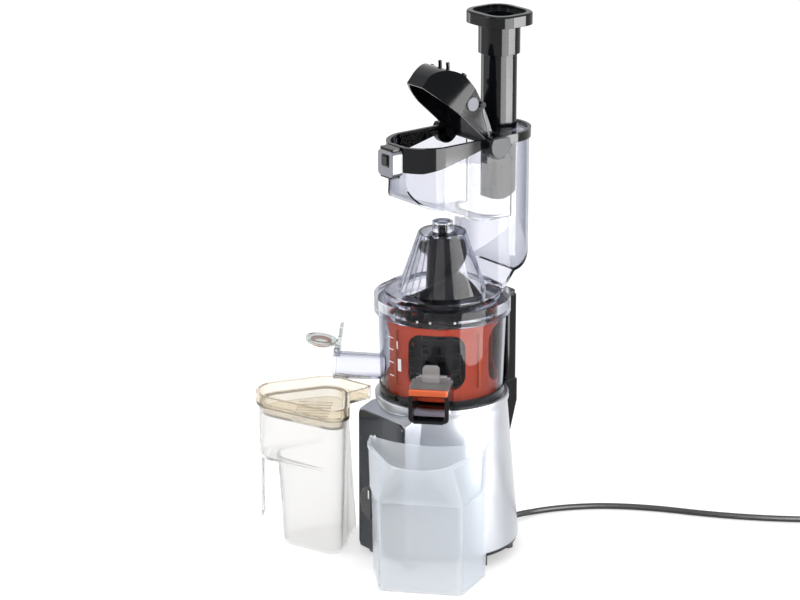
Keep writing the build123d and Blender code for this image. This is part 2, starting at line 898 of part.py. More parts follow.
def bowl_radius_at(z):
    share = (z - bowl_bottom) / bowl_height
    return bowl_bottom_radius + (bowl_top_radius - bowl_bottom_radius) * share


cap_hinge_r = spout_reach - 3.5
cap_hinge_z = spout_z + spout_mouth_radius + 3.4
gate_z = outlet_top + gap + gate_seal_thickness
gate_hinge_z = gate_z + gate_thickness / 2
gate_barrel = 3.2
cap_barrel = 3.0
ear_thickness = 3.0
cap_ear_inside = 5.4
gate_ear_inside = 14.3

with BuildPart() as juice_bowl:
    with BuildSketch(Plane.XY.offset(bowl_bottom)):
        Circle(bowl_bottom_radius)
    with BuildSketch(Plane.XY.offset(bowl_top)):
        Circle(bowl_top_radius)
    loft()
    # outside of the spout and of the pulp chute
    with BuildSketch(facing(spout_angle, bowl_bottom_radius - 10, spout_z)):
        Circle(spout_root_radius)
    with BuildSketch(facing(spout_angle, spout_reach, spout_z)):
        Circle(spout_mouth_radius)
    loft()
    with BuildSketch(facing(outlet_angle, bowl_bottom_radius - 15, outlet_z)):
        RectangleRounded(outlet_width, outlet_height, 3)
    extrude(amount=chute_reach - bowl_bottom_radius + 15)
    # ears for the two hinge pins
    with BuildSketch(facing(spout_angle, cap_hinge_r - cap_barrel, cap_hinge_z - 1.5)):
        for side in (-1, 1):
            with Locations((side * (cap_ear_inside + ear_thickness / 2), -1)):
                Rectangle(ear_thickness, 2 * cap_barrel + 2)
    extrude(amount=2 * cap_barrel)
    with BuildSketch(facing(outlet_angle, gate_hinge_radius - gate_barrel, (outlet_top + gate_hinge_z) / 2 + 1)):
        for side in (-1, 1):
            with Locations((side * (gate_ear_inside + ear_thickness / 2), 0)):
                Rectangle(ear_thickness, gate_hinge_z - outlet_top + gate_barrel + 2)
    extrude(amount=2 * gate_barrel)
    # inside of the bowl
    with BuildSketch(Plane.XY.offset(bowl_inside)):
        Circle(bowl_radius_at(bowl_inside) - wall)
    with BuildSketch(Plane.XY.offset(bowl_top)):
        Circle(bowl_top_radius - wall)
    loft(mode=Mode.SUBTRACT)
    # hub round the drive shaft
    with BuildSketch(Plane.XY.offset(bowl_bottom)):
        Circle(hub_radius)
    extrude(amount=hub_top - bowl_bottom)
    with BuildSketch(Plane.XY.offset(bowl_bottom)):
        Circle(hub_bore)
    extrude(amount=hub_top - bowl_bottom, mode=Mode.SUBTRACT)
    # bores of the spout and the chute
    with BuildSketch(facing(spout_angle, bowl_bottom_radius - 10, spout_z)):
        Circle(spout_root_radius - spout_wall)
    with BuildSketch(facing(spout_angle, spout_reach, spout_z)):
        Circle(spout_mouth_radius - spout_wall)
    loft(mode=Mode.SUBTRACT)
    with BuildSketch(facing(outlet_angle, bowl_bottom_radius - 15, outlet_z)):
        RectangleRounded(outlet_width - 2 * wall, outlet_height - 2 * wall, 2)
    extrude(amount=chute_reach - bowl_bottom_radius + 15, mode=Mode.SUBTRACT)
    # cleaning window in the chute's top, under the gate
    with BuildSketch(level(outlet_angle, outlet_top - wall)):
        with Locations((0, -(gate_hinge_radius + chute_reach) / 2 - 1)):
            Rectangle(outlet_width - 14, chute_reach - gate_hinge_radius - 12)
    extrude(amount=wall, mode=Mode.SUBTRACT)
    # pin holes
    with BuildSketch(Plane(origin=direction(spout_angle) * cap_hinge_r + Vector(0, 0, cap_hinge_z),
                           z_dir=across(spout_angle))):
        Circle(cap_pin_radius)
    extrude(amount=20, both=True, mode=Mode.SUBTRACT)
    with BuildSketch(Plane(origin=direction(outlet_angle) * gate_hinge_radius + Vector(0, 0, gate_hinge_z),
                           z_dir=across(outlet_angle))):
        Circle(gate_pin_radius)
    extrude(amount=30, both=True, mode=Mode.SUBTRACT)

with BuildPart() as bowl_pins:
    # pin of the spout's cap, and pin of the pulp gate
    with BuildSketch(Plane(origin=direction(spout_angle) * cap_hinge_r + Vector(0, 0, cap_hinge_z),
                           z_dir=across(spout_angle))):
        Circle(cap_pin_radius)
    extrude(amount=cap_ear_inside + ear_thickness, both=True)
    with BuildSketch(Plane(origin=direction(outlet_angle) * gate_hinge_radius + Vector(0, 0, gate_hinge_z),
                           z_dir=across(outlet_angle))):
        Circle(gate_pin_radius)
    extrude(amount=gate_ear_inside + ear_thickness, both=True)

with BuildPart() as bowl_foot_ring:
    with BuildSketch(Plane.XY.offset(bowl_bottom)):
        Circle(bowl_radius_at(bowl_bottom + foot_ring_height) + foot_ring_thickness)
    extrude(amount=foot_ring_height)
    with BuildSketch(Plane.XY.offset(bowl_bottom)):
        Circle(bowl_radius_at(bowl_bottom) + foot_ring_fit)
    with BuildSketch(Plane.XY.offset(bowl_bottom + foot_ring_height)):
        Circle(bowl_radius_at(bowl_bottom + foot_ring_height) + foot_ring_fit)
    loft(mode=Mode.SUBTRACT)
    # gaps for the spout and the chute
    with BuildSketch(facing(outlet_angle, bowl_bottom_radius / 2, outlet_z)):
        RectangleRounded(outlet_width + 2 * gap, outlet_height + 2 * gap, 3)
    extrude(amount=bowl_bottom_radius, mode=Mode.SUBTRACT)
    with BuildSketch(facing(spout_angle, bowl_bottom_radius / 2, spout_z)):
        Circle(spout_root_radius + 2 * gap)
    extrude(amount=bowl_bottom_radius, mode=Mode.SUBTRACT)

with BuildPart() as hub_seal:
    with BuildSketch(Plane.XY.offset(hub_top)):
        Circle(hub_radius)
        Circle(hub_bore - 0.4, mode=Mode.SUBTRACT)
    extrude(amount=1.2)

with BuildPart() as outlet_frame:
    with BuildSketch(facing(outlet_angle, chute_reach, outlet_z)):
        RectangleRounded(outlet_width + 2, outlet_height, 5)
        RectangleRounded(outlet_width - 2 * frame_wall, outlet_height - 2 * frame_wall, 2, mode=Mode.SUBTRACT)
    extrude(amount=frame_depth)
    # lip under the window
    with BuildSketch(facing(outlet_angle, chute_reach + frame_depth, outlet_z - outlet_height / 2 + 1.5)):
        RectangleRounded(outlet_width - 8, 3, 1)
    extrude(amount=3)


# ---------------------------------------------------------------- spout cap and pulp gate

def swung(angle, distance, z, swing):
    """Facing plane turned up by the swing angle about its own local X."""
    turn = math.radians(swing)
    outward = direction(angle) * math.cos(turn) + Vector(0, 0, math.sin(turn))
    return Plane(origin=direction(angle) * distance + Vector(0, 0, z), x_dir=across(angle), z_dir=outward)


cap_frame = swung(spout_angle, cap_hinge_r, cap_hinge_z, cap_open_angle)
cap_face = spout_reach - cap_hinge_r + 0.4
cap_drop = cap_hinge_z - spout_z
plug_radius = spout_mouth_radius - spout_wall - 1.5
plug_depth = 2.4

with BuildPart() as spout_cap:
    with BuildSketch(cap_frame.offset(cap_face)):
        with Locations((0, -cap_drop)):
            Circle(cap_radius)
        with Locations((0, -cap_drop / 2)):
            Rectangle(2 * (cap_ear_inside - gap), cap_drop)
    extrude(amount=cap_thickness)
    # arm from the disc to the hinge barrel
    with BuildSketch(cap_frame.offset(-cap_barrel + 1)):
        with Locations((0, 0)):
            Rectangle(2 * (cap_ear_inside - gap), 2 * cap_barrel - 0.6)
    extrude(amount=cap_face + cap_barrel)
    # lifting tab with a finger slot
    with BuildSketch(cap_frame.offset(cap_face)):
        with Locations((0, cap_barrel - 0.3 - cap_tab_thickness / 2)):
            Rectangle(cap_tab_width, cap_tab_thickness)
    extrude(amount=cap_tab_length)
    tab_mid = cap_frame.offset(cap_face + cap_thickness + (cap_tab_length - cap_thickness) / 2)
    with BuildSketch(Plane(origin=tab_mid.origin, x_dir=tab_mid.x_dir, z_dir=tab_mid.y_dir)):
        SlotOverall(9, 5, rotation=90)
    extrude(amount=20, both=True, mode=Mode.SUBTRACT)
    with BuildSketch(Plane(origin=cap_frame.origin, z_dir=cap_frame.x_dir)):
        Circle(cap_pin_radius + pin_gap)
    extrude(amount=20, both=True, mode=Mode.SUBTRACT)

with BuildPart() as spout_seal:
    with BuildSketch(cap_frame.offset(cap_face - plug_depth)):
        with Locations((0, -cap_drop)):
            Circle(plug_radius)
            Circle(plug_radius - 3.5, mode=Mode.SUBTRACT)
    extrude(amount=plug_depth)

with BuildPart() as pulp_gate:
    with BuildSketch(level(outlet_angle, gate_z)):
        with Locations((0, -(gate_hinge_radius + chute_reach + frame_depth) / 2 - 1)):
            RectangleRounded(outlet_width + 1, chute_reach + frame_depth - gate_hinge_radius, 2)
    extrude(amount=gate_thickness)
    with BuildSketch(level(outlet_angle, gate_z)):
        with Locations((0, -gate_hinge_radius - 1.5)):
            Rectangle(2 * gate_ear_inside + 2 * ear_thickness + 8, 2 * gate_barrel + 6)
    extrude(amount=gate_thickness, mode=Mode.SUBTRACT)
    with BuildSketch(level(outlet_angle, gate_z)):
        with Locations((0, -gate_hinge_radius - 4)):
            Rectangle(2 * (gate_ear_inside - gap), 8)
    extrude(amount=gate_thickness)
    with BuildSketch(Plane(origin=direction(outlet_angle) * gate_hinge_radius + Vector(0, 0, gate_hinge_z),
                           z_dir=across(outlet_angle))):
        Circle(gate_barrel - 0.2)
    extrude(amount=gate_ear_inside - gap, both=True)
    with BuildSketch(facing(outlet_angle, gate_hinge_radius + 16, gate_z + gate_tab_height / 2)):
        RectangleRounded(gate_tab_width, gate_tab_height, 4)
    extrude(amount=3)
    with BuildSketch(Plane(origin=direction(outlet_angle) * gate_hinge_radius + Vector(0, 0, gate_hinge_z),
                           z_dir=across(outlet_angle))):
        Circle(gate_pin_radius + pin_gap)
    extrude(amount=30, both=True, mode=Mode.SUBTRACT)

with BuildPart() as gate_seal:
    with BuildSketch(level(outlet_angle, outlet_top + gap)):
        with Locations((0, -(gate_hinge_radius + chute_reach + frame_depth) / 2 - 4)):
            RectangleRounded(outlet_width - 1, chute_reach + frame_depth - gate_hinge_radius - 10, 2)
    extrude(amount=gate_seal_thickness)


# ---------------------------------------------------------------- spin gear, brush cage, strainer, auger

with BuildPart() as spin_idler:
    with BuildSketch(Plane.XY.offset(spin_bottom)):
        phase = -math.pi / 2 + math.pi / idler_teeth
        with BuildLine():
            Polyline(*gear_outline(idler_teeth, spin_module, phase, idler_y), close=True)
        make_face()
        with Locations((0, idler_y)):
            Circle(spin_pin_radius + pin_gap, mode=Mode.SUBTRACT)
    extrude(amount=spin_gear_width)

with BuildPart() as spin_pin:
    with BuildSketch(Plane.XY.offset(bowl_inside)):
        with Locations((0, idler_y)):
            Circle(spin_pin_radius)
    extrude(amount=strainer_bottom - bowl_inside - gap)
    with BuildSketch(Plane.XY.offset(bowl_inside)):
        with Locations((0, idler_y)):
            Circle(spin_pin_radius + 2)
    extrude(amount=spin_bottom - bowl_inside - gap)

window_turn = 360 / cage_posts
window_width = 2 * cage_outer * math.sin(math.radians((window_turn - cage_post_angle) / 2))
window_height = cage_top - spin_top - 2 * cage_ring_height
window_middle = (cage_top + spin_top) / 2

with BuildPart() as brush_cage:
    # inside ring gear that the idler turns
    with BuildSketch(Plane.XY.offset(spin_bottom)):
        Circle(cage_outer)
        with BuildLine():
            Polyline(*ring_gear_hole(ring_teeth, spin_module, math.pi / 2 + math.pi / ring_teeth), close=True)
        make_face(mode=Mode.SUBTRACT)
    extrude(amount=spin_gear_width)
    # cage wall
    with BuildSketch(Plane.XY.offset(spin_top)):
        Circle(cage_outer)
        Circle(cage_inner, mode=Mode.SUBTRACT)
    extrude(amount=cage_top - spin_top)
    # round-cornered windows between the posts
    for window in range(cage_posts):
        with BuildSketch(facing(window_turn * (window + 0.5), cage_inner / 2, window_middle)):
            RectangleRounded(window_width, window_height, cage_window_corner)
        extrude(amount=cage_outer, mode=Mode.SUBTRACT)
    # slots that hold the wiper blades
    with BuildSketch(Plane.XY.offset(spin_top + cage_ring_height)):
        with PolarLocations((cage_outer + cage_inner) / 2, cage_posts):
            Rectangle(4 * cage_wall, wiper_thickness)
    extrude(amount=window_height, mode=Mode.SUBTRACT)

with BuildPart() as wiper_blades:
    blade_inner = strainer_top_radius + gap
    blade_outer = bowl_radius_at(spin_top + cage_ring_height) - wall - gap
    with BuildSketch(Plane.XY.offset(spin_top + cage_ring_height)):
        with PolarLocations((blade_inner + blade_outer) / 2, cage_posts):
            Rectangle(blade_outer - blade_inner, wiper_thickness)
    extrude(amount=window_height)

with BuildPart() as strainer:
    with BuildSketch(Plane.XY.offset(strainer_bottom)):
        Circle(strainer_bottom_radius)
    with BuildSketch(Plane.XY.offset(strainer_top)):
        Circle(strainer_top_radius)
    loft()
    with BuildSketch(Plane.XY.offset(strainer_floor)):
        Circle(strainer_bottom_radius - strainer_wall)
    with BuildSketch(Plane.XY.offset(strainer_top)):
        Circle(strainer_top_radius - strainer_wall)
    loft(mode=Mode.SUBTRACT)
    with BuildSketch(Plane.XY.offset(strainer_bottom)):
        Circle(auger_neck_radius + 1.5)
    extrude(amount=strainer_wall, mode=Mode.SUBTRACT)
    # rows of juice slots
    row_step = (strainer_top - strainer_floor) / slot_rows
    for row in range(slot_rows):
        with Locations((0, 0, strainer_floor + (row + 0.5) * row_step)):
            with PolarLocations((strainer_bottom_radius + strainer_top_radius) / 2, slot_columns):
                Box(12, 8, row_step - 5, mode=Mode.SUBTRACT)
    # legs that stand on the bowl's floor
    with BuildSketch(Plane.XY.offset(bowl_inside)):
        with PolarLocations(idler_y, strainer_legs, start_angle=30):
            Circle(strainer_leg_radius)
    extrude(amount=strainer_bottom - bowl_inside)


def strainer_inside_at(z):
    share = (z - strainer_bottom) / (strainer_top - strainer_bottom)
    return strainer_bottom_radius + (strainer_top_radius - strainer_bottom_radius) * share - strainer_wall


def tower_inside_at(z):
    share = (z - step_top) / tower_height
    return tower_base_radius + (tower_top_radius - tower_base_radius) * share - wall * 1.1


def auger_envelope():
    """Space that the flights may fill, kept clear of the strainer and the tower."""
    with BuildPart() as form:
        with BuildSketch(Plane.XZ):
            with BuildLine():
                Polyline(
                    (0, auger_bottom),
                    (strainer_inside_at(auger_bottom) - flight_clearance, auger_bottom),
                    (strainer_inside_at(strainer_top) - flight_clearance, strainer_top),
                    (tower_inside_at(step_top) - 2.5, step_top - 6),
                    (tower_inside_at(auger_top - 6) - 2.5, auger_top - 6),
                    (0, auger_top - 6),
                    close=True,
                )
            make_face()
        revolve(axis=Axis.Z)
    return form.part


def auger_flight(start_angle, bottom, height, turn, reach):
    """One twisted blade; its section is a bar from the core outwards."""
    with BuildSketch(Plane.XY.offset(bottom)) as section:
        with PolarLocations(reach / 2, 1, start_angle=start_angle):
            Rectangle(reach, flight_thickness)
    return Solid.extrude_linear_with_rotation(section.sketch.faces()[0], (0, 0, bottom), (0, 0, height), turn)


with BuildPart() as auger:
    with BuildSketch(Plane.XZ):
        with BuildLine():
            Polyline(
                (0, auger_bottom),
                (auger_core_bottom + 10, auger_bottom),
                (auger_core_bottom, auger_bottom + 8),
                (auger_core_mid, strainer_top),
                (auger_core_top, tower_top - 30),
                (auger_core_top, auger_top - 3),
                (auger_core_top - 3, auger_top),
                (0, auger_top),
                close=True,
            )
        make_face()
    revolve(axis=Axis.Z)
    for start in (0, 180):
        flight = auger_flight(start, auger_bottom, auger_top - 6 - auger_bottom, 420, 46)
        add(flight & auger_envelope())
    # neck through the strainer's floor, with the sun gear on its lower end
    with BuildSketch(Plane.XY.offset(spin_top)):
        Circle(auger_neck_radius)
    extrude(amount=auger_bottom - spin_top)
    with BuildSketch(Plane.XY.offset(spin_bottom)):
        with BuildLine():
            Polyline(*gear_outline(sun_teeth, spin_module, math.pi / 2), close=True)
        make_face()
    extrude(amount=spin_gear_width)
    # bearing pin at the tip
    with BuildSketch(Plane.XY.offset(auger_top)):
        Circle(auger_pin_radius)
    extrude(amount=tower_top + stub_height - 4 - auger_top)
    # recess over the bowl's hub, and the hexagonal socket
    with BuildSketch(Plane.XY.offset(spin_bottom)):
        Circle(hub_radius + 0.7)
    extrude(amount=hub_top + 2.0 - spin_bottom, mode=Mode.SUBTRACT)
    with BuildSketch(Plane.XY.offset(hub_top)):
        RegularPolygon(hex_across_flats / 2 + 0.15, 6, major_radius=False)
    extrude(amount=hex_top - hub_top + 1, mode=Mode.SUBTRACT)


# ---------------------------------------------------------------- lid with its tower and feed tube

rim_lip = 3.0                   # thickness of the rim's top lip, which covers the clear wall's edge
wall_top = hopper_top - rim_lip
tube_split_y = tube_y - tube_radius + tube_corner
pusher_plate_bottom = pusher_bottom + pusher_length
sleeve_bottom = pusher_plate_bottom - sleeve_height
guide_top = wall_top + 1.0
boot_floor = boot_arc_z - boot_radius + wall
pusher_travel = pusher_bottom - boot_floor - 1.0
boot_centre_y = tube_y + tube_radius - boot_radius
bracket_face = tube_radius + rim_wall
hood_pin_start = tube_radius - wall - 5.0


def boot_point(radius, angle):
    """Point on the rounding, the angle measured from straight down towards the rear."""
    turn = math.radians(angle)
    return (boot_centre_y + radius * math.sin(turn), boot_arc_z - radius * math.cos(turn))


def boot_side(inset, low, front_points):
    """Side view of the feed tube, closed along the given front points."""
    radius = boot_radius - inset
    start = boot_point(radius, boot_start_angle)
    slope = math.radians(boot_ramp_slope)
    foot = (start[0] - boot_ramp * math.cos(slope), start[1] - boot_ramp * math.sin(slope))
    rear = boot_point(radius, 90)
    with BuildSketch(Plane.YZ) as side:
        with BuildLine():
            Line(foot, start)
            ThreePointArc(start, boot_point(radius, 48), rear)
            Polyline(rear, (rear[0], front_points[0][1]), *front_points, (front_points[-1][0], low),
                     (foot[0], low), foot)
        make_face()
    return side.sketch


def prism(plan, bottom, top):
    """Upright prism of a plan sketch."""
    with BuildPart() as form:
        with BuildSketch(Plane.XY.offset(bottom)):
            add(plan)
        extrude(amount=top - bottom)
    return form.part


def side_prism(side, half):
    """Prism of a side-view sketch, spread evenly to both sides."""
    with BuildPart() as form:
        add(side.moved(Location((-half, 0, 0))))
        extrude(amount=2 * half, dir=(1, 0, 0))
    return form.part


tube_outside = prism(tube_outline(0), lid_under, wall_top) & side_prism(
    boot_side(0, lid_under, [(tube_split_y, wall_top), (tube_split_y, scoop_floor_z), (0, scoop_floor_z)]),
    2 * tube_radius)
tube_inside = prism(tube_outline(wall), lid_under - 2, wall_top + 2) & side_prism(
    boot_side(wall, lid_under - 2, [(0, wall_top + 2)]), 2 * tube_radius)

with BuildPart() as hopper_lid:
    with BuildSketch(Plane.XZ):
        with BuildLine():
            Polyline(
                (0, lid_under),
                (bowl_top_radius + gap, lid_under),
                (bowl_top_radius + gap, flange_bottom),
                (flange_radius, flange_bottom),
                (flange_radius, flange_top),
                (step_radius, flange_top),
                (step_radius, step_top),
                (tower_base_radius, step_top),
                (tower_top_radius, tower_top),
                (stub_radius, tower_top),
                (stub_radius, stub_top),
                (0, stub_top),
                close=True,
            )
        make_face()
    revolve(axis=Axis.Z)
    add(tube_outside)
    with BuildSketch(Plane.XZ):
        with BuildLine():
            Polyline(
                (0, lid_under - 2),
                (step_radius - wall, lid_under - 2),
                (step_radius - wall, step_top - wall),
                (tower_inside_at(step_top - wall), step_top - wall),
                (tower_inside_at(tower_top - wall), tower_top - wall),
                (0, tower_top - wall),
                close=True,
            )
        make_face()
    revolve(axis=Axis.Z, mode=Mode.SUBTRACT)
    add(tube_inside, mode=Mode.SUBTRACT)
    # blind bearing bore for the auger's tip
    with BuildSketch(Plane.XY.offset(tower_top - wall)):
        Circle(auger_pin_radius + pin_gap)
    extrude(amount=wall + stub_height - 2.5, mode=Mode.SUBTRACT)


# ---------------------------------------------------------------- feed scoop, rim and hinge brackets

def scoop_side(inset, top, rear):
    """Side view of the scoop: upright front, rounded corner, ramp down to the tube's mouth."""
    slope = math.radians(scoop_slope)
    radius = scoop_corner - inset
    ramp_end_z = scoop_floor_z + scoop_lap + inset / math.cos(slope)
    front = -scoop_front + inset
    corner_z = ramp_end_z + (scoop_slope_end_y - front) * math.tan(slope)
    shy = radius * math.tan((math.pi / 2 - slope) / 2)
    arc_start = (front, corner_z + shy)
    arc_end = (front + shy * math.cos(slope), corner_z - shy * math.sin(slope))
    floor_z = scoop_floor_z + inset
    with BuildSketch(Plane.YZ) as side:
        with BuildLine():
            Line((front, top), arc_start)
            TangentArc(arc_start, arc_end, tangent=(0, -1))
            Polyline(arc_end, (scoop_slope_end_y, ramp_end_z), (tube_y - tube_radius, floor_z), (rear, floor_z),
                     (rear, top), (front, top))
        make_face()
    return side.sketch


def hinge_pin_hole():
    """Round bar along the hood's axis, which cuts the pin's holes."""
    with BuildPart() as bar:
        with BuildSketch(Plane.YZ):
            with Locations((pivot_y, pivot_z)):
                Circle(hood_pin_radius)
        extrude(amount=bracket_face, both=True)
    return bar.part


with BuildPart() as feed_scoop:
    add(prism(hopper_outline(0), scoop_floor_z, wall_top))
    add(side_prism(scoop_side(0, wall_top, tube_split_y), 2 * tube_radius), mode=Mode.INTERSECT)
    add(prism(hopper_outline(-wall), scoop_floor_z, wall_top) & side_prism(
        scoop_side(wall, wall_top, tube_split_y + 1), 2 * tube_radius), mode=Mode.SUBTRACT)
    add(prism(tube_outline(wall), scoop_floor_z - 1, scoop_floor_z + wall + 1), mode=Mode.SUBTRACT)
    add(hinge_pin_hole(), mode=Mode.SUBTRACT)

rim_low = hopper_top - rim_height - rim_skirt
with BuildPart() as hopper_rim:
    add(prism(hopper_outline(rim_wall), rim_low, hopper_top))
    add(prism(hopper_outline(0), rim_low, wall_top), mode=Mode.SUBTRACT)
    add(prism(hopper_outline(0.4 - wall), wall_top, hopper_top), mode=Mode.SUBTRACT)
    # the skirt is deepest at the front and runs out towards the hinge
    with BuildSketch(Plane.YZ):
        with BuildLine():
            Polyline(
                (-scoop_front - 10, rim_low - 1),
                (-scoop_front - 10, rim_low + 1),
                (-scoop_front + 10, rim_low + 1),
                (pivot_y - 14, hopper_top - rim_height),
                (tube_y + tube_radius + 10, hopper_top - rim_height),
                (tube_y + tube_radius + 10, rim_low - 1),
                close=True,
            )
        make_face()
    extrude(amount=2 * tube_radius, both=True, mode=Mode.SUBTRACT)
    add(hinge_pin_hole(), mode=Mode.SUBTRACT)

with BuildPart() as hinge_brackets:
    with BuildSketch(Plane.YZ.offset(bracket_face)):
        with Locations((pivot_y, pivot_z)):
            Circle(bracket_radius)
        with Locations((pivot_y, hopper_top + 8)):
            Rectangle(4 * bracket_radius, 12, mode=Mode.SUBTRACT)
    extrude(amount=bracket_thickness)
    # pin that the hood turns on, through the rim and the clear wall
    with BuildSketch(Plane.YZ.offset(hood_pin_start)):
        with Locations((pivot_y, pivot_z)):
            Circle(hood_pin_radius)
    extrude(amount=bracket_face - hood_pin_start)
    mirror(about=Plane.YZ)

with BuildPart() as hinge_caps:
    with BuildSketch(Plane.YZ.offset(bracket_face + bracket_thickness)):
        with Locations((pivot_y, pivot_z)):
            Circle(hinge_cap_radius)
        with Locations((pivot_y, hopper_top + 7)):
            Rectangle(4 * bracket_radius, 12, mode=Mode.SUBTRACT)
    extrude(amount=hinge_cap_thickness)
    mirror(about=Plane.YZ)

# ---------------------------------------------------------------- hood, swung open

hood_half = tube_radius - wall - hood_gap
hood_turn = math.radians(hood_open_angle + hood_rest_tilt)
hood_side = Plane(origin=(0, pivot_y, pivot_z), x_dir=(0, -math.cos(hood_turn), math.sin(hood_turn)),
                  z_dir=(-1, 0, 0))
hood_up = hood_side.y_dir
hood_along = hood_side.x_dir
hood_plan = Plane(origin=(0, pivot_y, pivot_z), x_dir=hood_along, z_dir=hood_up)
hood_rise = hood_crest[1]


def hood_form(inset):
    """Arched body over the hopper's mouth, drawn in by the inset and open below."""
    half = hood_half - inset
    nose = scoop_nose_half - inset
    narrow = half * hood_narrow_mid[1]
    low = -hood_edge - 2.0 * inset
    tip = hood_length - inset
    back = inset - hood_back
    crest = (hood_crest[0], hood_rise - inset)
    with BuildPart() as form:
        with BuildSketch(hood_side):
            with BuildLine():
                ThreePointArc((back, 0), (hood_mid[0], hood_mid[1] - inset), crest)
                ThreePointArc(crest, (hood_brow[0] - inset / 2, hood_brow[1] - inset), (tip, 0))
                Polyline((tip, 0), (tip, low), (back, low), (back, 0))
            make_face()
        extrude(amount=half, both=True)
        # the plan narrows to a nose, as the hopper's mouth does
        with BuildSketch(hood_plan):
            with BuildLine():
                Line((back, -half), (hood_narrow_start, -half))
                ThreePointArc((hood_narrow_start, -half), (hood_narrow_mid[0], -narrow), (tip, -nose))
                Line((tip, -nose), (tip, nose))
                ThreePointArc((tip, nose), (hood_narrow_mid[0], narrow), (hood_narrow_start, half))
                Line((hood_narrow_start, half), (back, half))
                Line((back, half), (back, -half))
            make_face()
        extrude(amount=2 * hood_rise, both=True, mode=Mode.INTERSECT)
    return form.part


def on_hood(place, side):
    """Point on the hood: along and up from its hinge, and out to one side."""
    return hood_side.origin + hood_along * place[0] + hood_up * place[1] + Vector(side, 0, 0)


with BuildPart() as feed_hood:
    add(hood_form(0))
    add(hood_form(hood_wall), mode=Mode.SUBTRACT)
    # lugs round the hinge pins
    for side in (-1, 1):
        with BuildSketch(hood_side.offset(side * (hood_half - 1.6))):
            Circle(hood_pin_radius + hood_pin_lug)
        extrude(amount=1.6, both=True)
    with BuildSketch(hood_side):
        Circle(hood_pin_radius + pin_gap)
    extrude(amount=2 * hood_half, both=True, mode=Mode.SUBTRACT)
    # round knobs on the sides, which keep the open hood off the pusher
    for side in (-1, 1):
        with BuildSketch(hood_side.offset(side * hood_half)):
            with Locations(hood_knob_place):
                Circle(hood_knob_radius)
        extrude(amount=side * hood_knob_length)
    # pegs on the brow that meet the latch when the hood is shut
    for side in (-1, 1):
        with BuildSketch(Plane(origin=on_hood(peg_place, side * peg_spread), z_dir=hood_along + hood_up)):
            Circle(peg_radius)
        extrude(amount=peg_length)
    # small lugs on the crest
    for side in (-1, 1):
        lug_base = on_hood((hood_crest[0], hood_rise - hood_wall / 2), side * crest_lug_side)
        with BuildSketch(Plane(origin=lug_base, x_dir=(1, 0, 0), z_dir=hood_up)):
            Rectangle(crest_lug_size, crest_lug_size)
        extrude(amount=crest_lug_rise)

with BuildPart() as hood_discs:
    for side in (-1, 1):
        with BuildSketch(hood_side.offset(side * hood_half)):
            with Locations(hood_disc_place):
                Circle(hood_disc_radius)
        extrude(amount=side * hood_disc_thickness)
        # thin stay beside the disc, running down towards the hinge
        with BuildSketch(hood_side.offset(side * hood_half)):
            with BuildLine():
                Polyline(
                    (hood_knob_place[0] - 4.0, hood_knob_place[1] + 0.5),
                    (hood_knob_place[0] - 5.0, hood_knob_place[1] - 3.2),
                    (stay_end, 1.5),
                    (stay_end, 4.0),
                    close=True,
                )
            make_face()
        extrude(amount=side * stay_thickness)


# ---------------------------------------------------------------- latch, guide and pusher

latch_top = hopper_top - latch_below_top
latch_middle = latch_top - button_below_latch
latch_back = scoop_front + rim_wall
pocket_depth = button_travel + button_stem

with BuildPart() as latch_block:
    with BuildSketch(Plane.XZ.offset(latch_back)):
        with Locations((0, latch_top - latch_height / 2)):
            RectangleRounded(2 * latch_half_width, latch_height, 5)
    extrude(amount=latch_depth)
    with BuildSketch(Plane.XZ.offset(latch_back + latch_depth)):
        with Locations((0, latch_middle)):
            Rectangle(button_width + 2 * gap, button_height + 2 * gap)
    extrude(amount=-pocket_depth - gap, mode=Mode.SUBTRACT)

with BuildPart() as latch_cap:
    with BuildSketch(Plane.XY.offset(latch_top)):
        with Locations((0, -latch_back - latch_depth / 2)):
            RectangleRounded(2 * latch_half_width - 4, latch_depth - 2 * gap, 2)
    extrude(amount=latch_cap_height)

with BuildPart() as latch_button:
    with BuildSketch(Plane.XZ.offset(latch_back + latch_depth + button_travel - pocket_depth)):
        with Locations((0, latch_middle)):
            RectangleRounded(button_width, button_height, 1.2)
    extrude(amount=pocket_depth)

guide_height = 3 * guide_thickness
guide_hole = pusher_size + 2 * gap
guide_outside = pusher_size + 2 * guide_collar

with BuildPart() as pusher_guide:
    add(prism(hopper_outline(-wall), guide_top - guide_thickness, guide_top))
    with BuildSketch(Plane.XY.offset(guide_top - guide_thickness)):
        with Locations((0, pivot_y + guide_front - 2 * tube_radius)):
            Rectangle(4 * tube_radius, 4 * tube_radius)
    extrude(amount=guide_thickness, mode=Mode.SUBTRACT)
    with BuildSketch(Plane.XY.offset(guide_top - guide_height)):
        with Locations((0, pusher_y)):
            RectangleRounded(guide_outside, guide_outside, pusher_corner + guide_collar)
    extrude(amount=guide_height)
    with BuildSketch(Plane.XY.offset(guide_top - guide_height)):
        with Locations((0, pusher_y)):
            RectangleRounded(guide_hole, guide_hole, pusher_corner + gap)
    extrude(amount=guide_height, mode=Mode.SUBTRACT)

